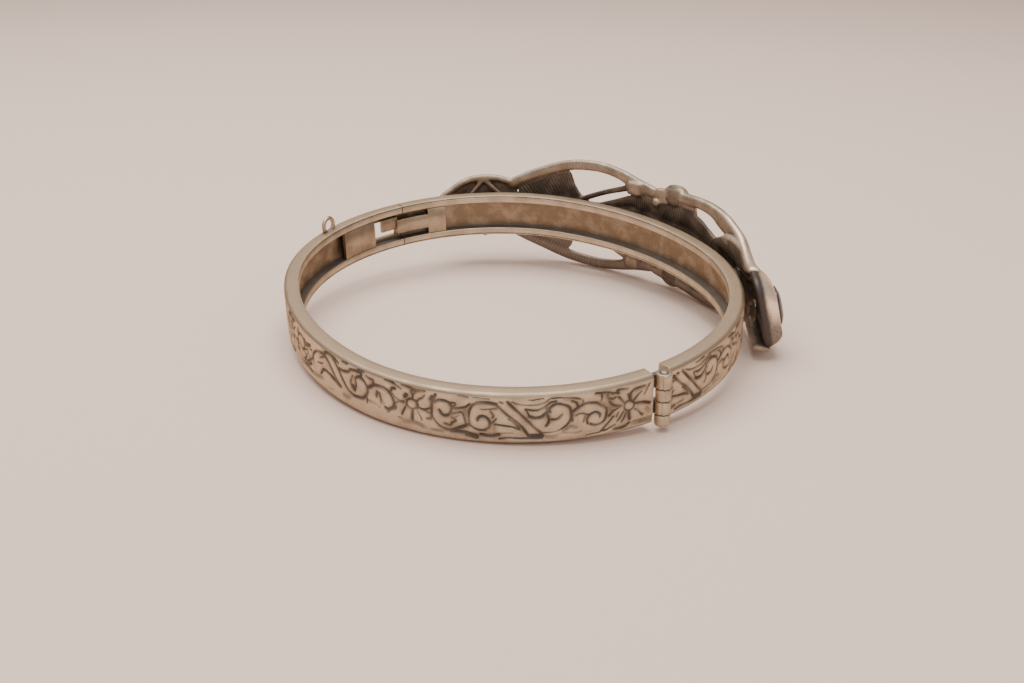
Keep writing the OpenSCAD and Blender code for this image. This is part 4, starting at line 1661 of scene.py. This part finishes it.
        # Columns: width, height, corner, distance out.
        levels = [
            (w - 0.4, h - 0.4, c - 0.15, self.floor + 0.04),
            (w - 0.04, h - 0.04, c, self.floor + 0.2),
            (w - 0.01, h - 0.01, c, girdle - 0.2), (w - 0.02, h - 0.02, c, girdle - 0.04),
            (w - 0.12, h - 0.12, c, girdle + 0.02), (w - 0.6, h - 0.6, c, girdle + 0.17),
            (w - 1.12, h - 1.12, c, table - 0.035), (w - 1.2, h - 1.2, c, table - 0.02),
            (w - 1.3, h - 1.3, c - 0.05, table - 0.008), (w - 2.2, h - 2.2, c - 0.4, table),
            (0.2, 0.8, 0.09, table),
        ]  # fmt: skip
        parts = MeshParts()
        parts.loft(self.rings([(*q, low) for q in levels]))
        thing = laid(parts.mesh("stone_dressed"), "stone_dressed", materials)
        return seated(thing, Body.FRONT, ["stone"])


class NodeTree:
    """A thin hand on a node tree: makes nodes, sets their values and links them."""

    def __init__(self, tree: bpy.types.NodeTree) -> None:
        """Takes the tree to work on."""
        self.tree = tree

    def feed(self, target: bpy.types.NodeSocket, value: object) -> None:
        """Links a socket to an input, or sets the input to a plain value.

        Args:
            target: the input.
            value: a socket, a number or a colour.
        """
        if isinstance(value, bpy.types.NodeSocket):
            self.tree.links.new(value, target)
        else:
            target.default_value = value

    def add(
        self, kind: str, inputs: dict[str | int, object] | None = None, **settings: object
    ) -> bpy.types.Node:
        """Makes a node.

        Args:
            kind: the node's type.
            inputs: the sockets or plain values of its inputs, by name or number.
            settings: its own settings, which are made first.

        Returns:
            The node.
        """
        node = self.tree.nodes.new(kind)
        for key, value in settings.items():
            setattr(node, key, value)
        self.fill(node.inputs, inputs or {})
        return node

    def fill(self, sockets: bpy.types.NodeInputs, values: dict[str | int, object]) -> None:
        """Feeds several inputs, by name or number."""
        for key, value in values.items():
            self.feed(sockets[key], value)

    def math(self, kind: str, a: object, b: object = 0.0) -> bpy.types.NodeSocket:
        """The result of a sum on two numbers or sockets."""
        return self.add("ShaderNodeMath", {0: a, 1: b}, operation=kind).outputs[0]

    def mix(self, share: object, a: object, b: object) -> bpy.types.NodeSocket:
        """A mix of two colours by a share."""
        return self.add("ShaderNodeMix", {0: share, 6: a, 7: b}, data_type="RGBA").outputs[2]

    def spread(self, value: bpy.types.NodeSocket, low: float, high: float) -> bpy.types.NodeSocket:
        """A value mapped from a range to 0 to 1, smoothly and clamped."""
        inputs = {0: value, 1: low, 2: high}
        return self.add("ShaderNodeMapRange", inputs, interpolation_type="SMOOTHSTEP").outputs[0]

    def scaled(self, place: bpy.types.NodeSocket, scale: object) -> bpy.types.NodeSocket:
        """A place made larger or smaller."""
        inputs = {0: place, "Scale": scale}
        return self.add("ShaderNodeVectorMath", inputs, operation="SCALE").outputs[0]

    def millimetres(self) -> bpy.types.NodeSocket:
        """The place on the object, in millimetres."""
        return self.scaled(self.add("ShaderNodeTexCoord").outputs["Object"], 1 / METRES)

    def noise(
        self, place: bpy.types.NodeSocket, scale: float, detail: float, rough: float = 0.5
    ) -> bpy.types.NodeSocket:
        """A grey noise at a place."""
        inputs = {"Vector": place, "Scale": scale, "Detail": detail, "Roughness": rough}
        return self.add("ShaderNodeTexNoise", inputs, noise_dimensions="3D").outputs["Fac"]

    def bump(
        self, height: bpy.types.NodeSocket, strength: float, deep: float, normal: object = None
    ) -> bpy.types.NodeSocket:
        """A normal tilted by a height, up to some millimetres deep.

        Args:
            height: the height's socket.
            strength: how strongly it tilts.
            deep: the full height in millimetres.
            normal: the normal it starts from, if not the mesh's own.

        Returns:
            The tilted normal.
        """
        inputs = {"Strength": strength, "Distance": deep * METRES, "Height": height}
        if normal:
            inputs["Normal"] = normal
        return self.add("ShaderNodeBump", inputs).outputs["Normal"]


FLOAT = "NodeSocketFloat"
COLOUR = "NodeSocketColor"
VECTOR = "NodeSocketVector"
Group = tuple[bpy.types.NodeTree, NodeTree, object, object]


def new_group(
    name: str, inputs: Sequence[tuple[str, str, object]], outputs: Sequence[tuple[str, str]]
) -> Group:
    """Starts a shader node group.

    Args:
        name: the group's name.
        inputs: name, socket type and default of each input.
        outputs: name and socket type of each output.

    Returns:
        The group, a hand on it, the sockets it takes in and the sockets it puts out.
    """
    group = bpy.data.node_groups.new(name, "ShaderNodeTree")
    for label, kind, value in inputs:
        socket = group.interface.new_socket(label, in_out="INPUT", socket_type=kind)
        socket.default_value = value
    for label, kind in outputs:
        group.interface.new_socket(label, in_out="OUTPUT", socket_type=kind)
    hand = NodeTree(group)
    taken, given = hand.add("NodeGroupInput").outputs, hand.add("NodeGroupOutput").inputs
    return group, hand, taken, given


def new_material(name: str) -> tuple[bpy.types.Material, NodeTree, bpy.types.NodeInputs]:
    """Starts a material.

    Args:
        name: the material's name.

    Returns:
        The material, a hand on its nodes and the inputs of its shader.
    """
    made = bpy.data.materials.new(name)
    made.use_nodes = True
    return made, NodeTree(made.node_tree), made.node_tree.nodes["Principled BSDF"].inputs


def tarnish_group() -> bpy.types.NodeTree:
    """Old silver: bright where it is rubbed and where light is painted, dark in its recesses and under painted
    shade, with faint clouds.

    Returns:
        A group that puts out Colour, Roughness and the Mottle of old sheet.
    """
    colours = {
        "Bright": (0.8, 0.7, 0.6, 1),
        "Tarnish": (0.4, 0.33, 0.27, 1),
        "Dark": (0.1, 0.08, 0.07, 1),
    }
    numbers = {"Hollow": 0.0, "Film": 0.0, "Clouds": 0.3, "Smooth": 0.25, "Dull": 0.6}
    group, hand, taken, given = new_group(
        "tarnish",
        [
            ("Place", VECTOR, (0, 0, 0)),
            *((label, COLOUR, value) for label, value in colours.items()),
            *((label, FLOAT, value) for label, value in numbers.items()),
        ],
        [("Colour", COLOUR), ("Roughness", FLOAT), ("Mottle", FLOAT)],
    )
    clouds = hand.noise(taken["Place"], 0.45, 4)
    specks = hand.noise(taken["Place"], 5.5, 3)
    cloudy = hand.math("MULTIPLY", hand.spread(clouds, 0.38, 0.68), taken["Clouds"])
    specky = hand.math("MULTIPLY", hand.spread(specks, 0.45, 0.75), taken["Clouds"])
    both = hand.math("ADD", cloudy, hand.math("MULTIPLY", specky, 0.5))
    film = hand.math("ADD", both, taken["Film"])
    deep = hand.math("ADD", taken["Hollow"], hand.math("MULTIPLY", specky, 0.25))
    base = hand.mix(hand.math("MINIMUM", film, 1.0), taken["Bright"], taken["Tarnish"])
    hand.feed(given["Colour"], hand.mix(hand.spread(deep, 0.12, 0.85), base, taken["Dark"]))
    blotches = hand.math("ADD", clouds, hand.math("MULTIPLY", specks, 0.4))
    hand.feed(given["Mottle"], hand.spread(blotches, 0.6, 0.9))
    worn = hand.math("SUBTRACT", taken["Dull"], taken["Smooth"])
    share = hand.spread(hand.math("ADD", deep, hand.math("MULTIPLY", film, 0.5)), 0.0, 1.0)
    rough = hand.math("ADD", taken["Smooth"], hand.math("MULTIPLY", worn, share))
    hand.feed(given["Roughness"], rough)
    return group


def brush_group() -> bpy.types.NodeTree:
    """Fine lines of filing and wear that run along the metal.

    Returns:
        A group that puts out Height and a Mask of the brighter lines.
    """
    group, hand, taken, given = new_group(
        "brushing",
        [("Along", FLOAT, 0.0), ("Across", FLOAT, 0.0), ("Fineness", FLOAT, 9.0)],
        [("Height", FLOAT), ("Mask", FLOAT)],
    )
    along = hand.math("MULTIPLY", taken["Along"], 0.35)
    across = hand.math("MULTIPLY", taken["Across"], taken["Fineness"])
    place = hand.add("ShaderNodeCombineXYZ", {0: along, 1: across}).outputs[0]
    lines = hand.noise(place, 1.0, 5, 0.65)
    hand.feed(given["Height"], lines)
    hand.feed(given["Mask"], hand.spread(lines, 0.5, 0.72))
    return group


def pitting_group() -> bpy.types.NodeTree:
    """The faint grain and pits of a casting.

    Returns:
        A group that puts out Height.
    """
    group, hand, taken, given = new_group(
        "casting_grain", [("Place", VECTOR, (0, 0, 0)), ("Grain", FLOAT, 3.2)], [("Height", FLOAT)]
    )
    place = hand.scaled(taken["Place"], taken["Grain"])
    pits = hand.add("ShaderNodeTexVoronoi", {"Vector": place, "Scale": 1.7}, feature="F1")
    dents = hand.spread(pits.outputs["Distance"], 0.05, 0.45)
    soft = hand.noise(place, 1.0, 6)
    hand.feed(given["Height"], hand.math("ADD", soft, hand.math("MULTIPLY", dents, 0.35)))
    return group


@dataclass(frozen=True)
class SilverFinish:
    """One finish of old silver: its colours, its gloss and the marks of its making."""

    name: str
    bright: Colour
    tarnish: Colour
    dark: Colour
    clouds: float
    smooth: float
    dull: float
    brushing: float
    grain: float
    fineness: float = 9.0
    grazing: Colour = (1.0, 0.85, 0.7, 1)
    # inner and inner_light colour the faces marked inner: tarnish inside the band's channel, painted shade on
    # the casting's faces towards the band.
    inner: Colour | None = None
    inner_light: Colour = (0.4, 0.31, 0.23, 1)
    ribbed: float = 0.0
    rib_pitch: float = 0.42

    def build(self, groups: dict[str, bpy.types.NodeTree]) -> bpy.types.Material:
        """Makes the material.

        Args:
            groups: the shared node groups by name.

        Returns:
            The material, which reads the values kept on the mesh by their names.
        """
        made, hand, shader = new_material(self.name)
        place = hand.millimetres()
        read = {}
        for name in ("hollow", "film", "inner", "along", "up", "ribs", "rib_at"):
            node = hand.add("ShaderNodeAttribute", attribute_name=name)
            read[name] = node.outputs["Fac"]
        tarnish = {
            "Place": place,
            "Hollow": read["hollow"],
            "Film": read["film"],
            "Bright": self.bright,
            "Tarnish": self.tarnish,
            "Dark": self.dark,
            "Clouds": self.clouds,
            "Smooth": self.smooth,
            "Dull": self.dull,
        }
        aged = hand.add("ShaderNodeGroup", tarnish, node_tree=groups["tarnish"]).outputs
        brushing = {"Fineness": self.fineness, "Along": read["along"], "Across": read["up"]}
        brush = hand.add("ShaderNodeGroup", brushing, node_tree=groups["brushing"]).outputs
        pits = hand.add("ShaderNodeGroup", {"Place": place}, node_tree=groups["casting_grain"])
        angle = hand.math("MULTIPLY", read["rib_at"], 2 * math.pi / self.rib_pitch)
        rib = hand.math("MULTIPLY", hand.math("SINE", angle), read["ribs"])
        colour = aged["Colour"]
        # Inner faces take the inner colours, darkened further by patina and painted shade.
        if self.inner:
            mottled = hand.mix(aged["Mottle"], self.inner, self.inner_light)
            shaded = hand.mix(hand.spread(read["hollow"], 0.1, 1.0), mottled, self.dark)
            colour = hand.mix(read["inner"], colour, shaded)
        normal = hand.bump(brush["Height"], self.brushing, 0.03)
        normal = hand.bump(pits.outputs["Height"], self.grain, 0.08, normal)
        if self.ribbed:
            troughs = hand.math("MULTIPLY", hand.spread(rib, 0.3, -0.9), 0.6)
            colour = hand.mix(troughs, colour, self.dark)
            normal = hand.bump(rib, self.ribbed, 0.06, normal)
        rough = hand.math("ADD", aged["Roughness"], hand.math("MULTIPLY", brush["Mask"], 0.1))
        surface = {"Metallic": 1.0, "Specular Tint": self.grazing, "Base Color": colour}
        hand.fill(shader, {**surface, "Roughness": rough, "Normal": normal})
        return made


@dataclass(frozen=True)
class StoneFinish:
    """Black onyx with a high polish."""

    name: str = "black_onyx"
    colour: Colour = (0.012, 0.011, 0.012, 1)
    vein: Colour = (0.03, 0.028, 0.03, 1)

    def build(self) -> bpy.types.Material:
        """Makes the material, with the faint banding that the stone has.

        Returns:
            The material.
        """
        made, hand, shader = new_material(self.name)
        waves = {"Vector": hand.millimetres(), "Scale": 0.4, "Distortion": 3.0}
        bands = hand.add("ShaderNodeTexWave", waves).outputs["Fac"]
        colour = hand.mix(bands, self.colour, self.vein)
        polish = {"Roughness": 0.07, "IOR": 1.54, "Coat Weight": 0.3}
        hand.fill(shader, {"Base Color": colour, **polish})
        return made


@dataclass(frozen=True)
class PhotoView:
    """The camera that took the photograph, measured from the band's own curves."""

    focal_px: float = 1150.0
    width_px: float = 1024.0
    distance: float = 143.077
    down: float = 27.964
    roll: float = -1.158
    aim: tuple[float, float] = (0.404, -6.589)
    turn: float = 57.0
    film_mm: float = 36.0

    def build(self) -> None:
        """Places the camera and makes it the scene's."""
        e, r = math.radians(self.down), math.radians(self.roll)
        ahead = Vector((0, math.cos(e), -math.sin(e)))
        right = Vector((1, 0, 0))
        up = right.cross(ahead)
        x = math.cos(r) * right + math.sin(r) * up
        y = -math.sin(r) * right + math.cos(r) * up
        place = Vector((*self.aim, 0)) - ahead * self.distance
        columns = Matrix((x, y, -ahead)).transposed().to_4x4()
        own = Matrix.Translation(place) @ columns
        whole = LAY @ Matrix.Rotation(math.radians(self.turn), 4, "Z") @ own
        whole.translation *= METRES
        lens = bpy.data.cameras.new("photo_camera")
        lens.sensor_width = self.film_mm
        lens.lens = self.focal_px / self.width_px * self.film_mm
        lens.clip_start = 0.005
        lens.clip_end = 20
        thing = in_scene("photo_camera", lens)
        thing.matrix_world = whole
        bpy.context.scene.camera = thing


@dataclass(frozen=True)
class Lamp:
    """One soft light: its place about the object, its size and its strength."""

    name: str
    place: tuple[float, float, float]
    size: float
    power: float
    colour: tuple[float, float, float] = (1.0, 0.945, 0.885)

    def build(self, turn: float) -> None:
        """Hangs the light, aimed at the object, in axes turned with the camera.

        Args:
            turn: the camera's turn in degrees.
        """
        lamp = bpy.data.lights.new(self.name, "AREA")
        lamp.shape = "DISK"
        lamp.size = self.size
        lamp.energy = self.power
        lamp.color = self.colour
        thing = in_scene(self.name, lamp)
        place = Matrix.Rotation(math.radians(turn), 4, "Z") @ Vector(self.place)
        aim = (-place).to_track_quat("-Z", "Y").to_matrix().to_4x4()
        thing.matrix_world = Matrix.Translation(place) @ aim


@dataclass(frozen=True)
class Studio:
    """A pale paper floor under wide soft lights."""

    paper: Colour = (0.728, 0.588, 0.522, 1)
    sky: Colour = (1.0, 0.87, 0.77, 1)
    sky_strength: float = 0.56
    lamps: tuple[Lamp, ...] = (
        Lamp("overhead", (-0.06, 0.05, 0.42), 0.5, 3.3),
        Lamp("front_fill", (0.15, -0.7, 0.5), 0.6, 2.0),
    )

    def build(self, turn: float) -> None:
        """Lays the floor and lights it.

        Args:
            turn: the camera's turn in degrees.
        """
        floor = bpy.data.meshes.new("paper_floor")
        tool = bmesh.new()
        bmesh.ops.create_grid(tool, x_segments=8, y_segments=8, size=2.0)
        tool.to_mesh(floor)
        tool.free()
        thing = in_scene("paper_floor", floor)
        made, hand, shader = new_material("pale_paper")
        cloud = hand.add("ShaderNodeTexNoise", {"Scale": 9.0}).outputs["Fac"]
        shade = tuple(0.985 * c for c in self.paper[:3])
        colour = hand.mix(cloud, self.paper, (*shade, 1))
        hand.fill(shader, {"Base Color": colour, "Roughness": 0.85, "Specular IOR Level": 0.2})
        floor.materials.append(made)
        world = bpy.data.worlds.new("studio_air")
        world.use_nodes = True
        sky = world.node_tree.nodes["Background"]
        sky.inputs["Color"].default_value = self.sky
        sky.inputs["Strength"].default_value = self.sky_strength
        bpy.context.scene.world = world
        for lamp in self.lamps:
            lamp.build(turn)


SHEET = SilverFinish(
    "old_sheet_silver",
    bright=(0.55, 0.46, 0.345, 1),
    tarnish=(0.345, 0.265, 0.19, 1),
    dark=(0.118, 0.107, 0.101, 1),
    clouds=0.5,
    smooth=0.38,
    dull=0.62,
    brushing=0.3,
    grain=0.14,
    inner=(0.23, 0.172, 0.115, 1),
    inner_light=(0.4, 0.31, 0.22, 1),
)
FILED = SilverFinish(
    "filed_silver",
    bright=(0.43, 0.345, 0.255, 1),
    tarnish=(0.28, 0.21, 0.145, 1),
    dark=(0.1, 0.08, 0.065, 1),
    clouds=0.8,
    smooth=0.36,
    dull=0.62,
    brushing=0.3,
    grain=0.12,
)
CAST = SilverFinish(
    "old_cast_silver",
    bright=(0.8, 0.66, 0.53, 1),
    tarnish=(0.33, 0.265, 0.205, 1),
    dark=(0.062, 0.053, 0.047, 1),
    clouds=0.4,
    smooth=0.48,
    dull=0.68,
    brushing=0.25,
    grain=0.45,
    # Here inner and inner_light are painted shade on the faces towards the band.
    inner=(0.15, 0.125, 0.106, 1),
    inner_light=(0.27, 0.22, 0.178, 1),
    ribbed=0.45,
)
RUBBED = SilverFinish(
    "rubbed_silver",
    bright=(0.97, 0.82, 0.67, 1),
    tarnish=(0.55, 0.45, 0.36, 1),
    dark=(0.085, 0.075, 0.07, 1),
    clouds=0.5,
    smooth=0.36,
    dull=0.55,
    brushing=1.0,
    grain=0.2,
    fineness=5.0,
)


class Bangle:
    """The whole object, built sub-assembly by sub-assembly."""

    def __init__(self) -> None:
        """Makes the finishes that the pieces share."""
        groups = {
            "tarnish": tarnish_group(),
            "brushing": brush_group(),
            "casting_grain": pitting_group(),
        }
        self.sheet, self.cast, self.rubbed, self.filed = (
            finish.build(groups) for finish in (SHEET, CAST, RUBBED, FILED)
        )
        self.onyx = StoneFinish().build()

    def band_halves(self) -> list[BandHalf]:
        """The two halves with where their friezes run and how the charts repeat.

        Returns:
            The back half and the front half.
        """
        repeat, last_flower, first_flower = 24.1, 156.1, -8.05
        joint, gap = 178.7, 0.13
        back_clear, front_clear = 1.42, 0.85
        back_end = 360 - math.degrees(math.asin(back_clear / HINGE_END_R))
        front_end = math.degrees(math.asin(front_clear / HINGE_END_R))
        back = BandHalf(
            "back_band_dressed",
            Body.BACK,
            start=joint + gap,
            end=back_end,
            fields=((joint + 1, 360.0),),
            charts=(
                Placed(last_flower, -99, 99),
                Placed(last_flower - repeat, last=5),
                Placed(last_flower - 2 * repeat),
                Placed(last_flower - 3 * repeat),
            ),
            window=(180.4, 189.3),
        )
        front = BandHalf(
            "front_band_dressed",
            Body.FRONT,
            start=front_end,
            end=joint - gap,
            fields=((0.0, 44.0), (169.0, joint - 1)),
            charts=tuple(Placed(first_flower + k * repeat) for k in range(5)),
        )
        return [back, front]

    def build(self) -> list[bpy.types.Object]:
        """Builds every piece.

        Returns:
            The pieces, in the order they were made.
        """
        made = [half.build([self.sheet]) for half in self.band_halves()]
        hinge = Hinge()
        for body, owned in ((Body.FRONT, (0, 2)), (Body.BACK, (1, 3))):
            made.append(hinge.build_half(body, owned, [self.sheet]))
        made.append(hinge.build_pin([self.sheet]))
        made.append(ChainLoop().build([self.sheet]))
        low = 1.13
        high = BAND_H - low
        # Columns: first turn, last turn, inner and outer distance, lower and upper height.
        plate = ((190.1, 203.8, -1.92, -1.52, low, high),)
        tongue = (
            (163.0, 169.3, -1.92, -1.45, low, high),
            (163.0, 181.0, -1.9, -1.45, 2.05, 4.15),
            (180.5, 186.6, -1.55, -1.1, 2.75, 4.6),
        )
        made.append(CatchPiece("catch_plate", Body.BACK, plate).build([self.filed]))
        made.append(CatchPiece("spring_tongue", Body.FRONT, tongue).build([self.filed]))
        made.append(Openwork().build([self.cast]))
        setting = Setting()
        made.append(setting.build_metal([self.rubbed]))
        made.append(setting.build_stone([self.onyx]))
        return made


def main() -> None:
    """Loads the frame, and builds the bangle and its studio."""
    logging.basicConfig(level=logging.INFO, format="%(name)s: %(message)s")
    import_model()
    view = PhotoView()
    view.build()
    pieces = Bangle().build()
    Studio().build(view.turn)
    LOG.info("%d pieces", len(pieces))


if __name__ == "__main__":
    main()
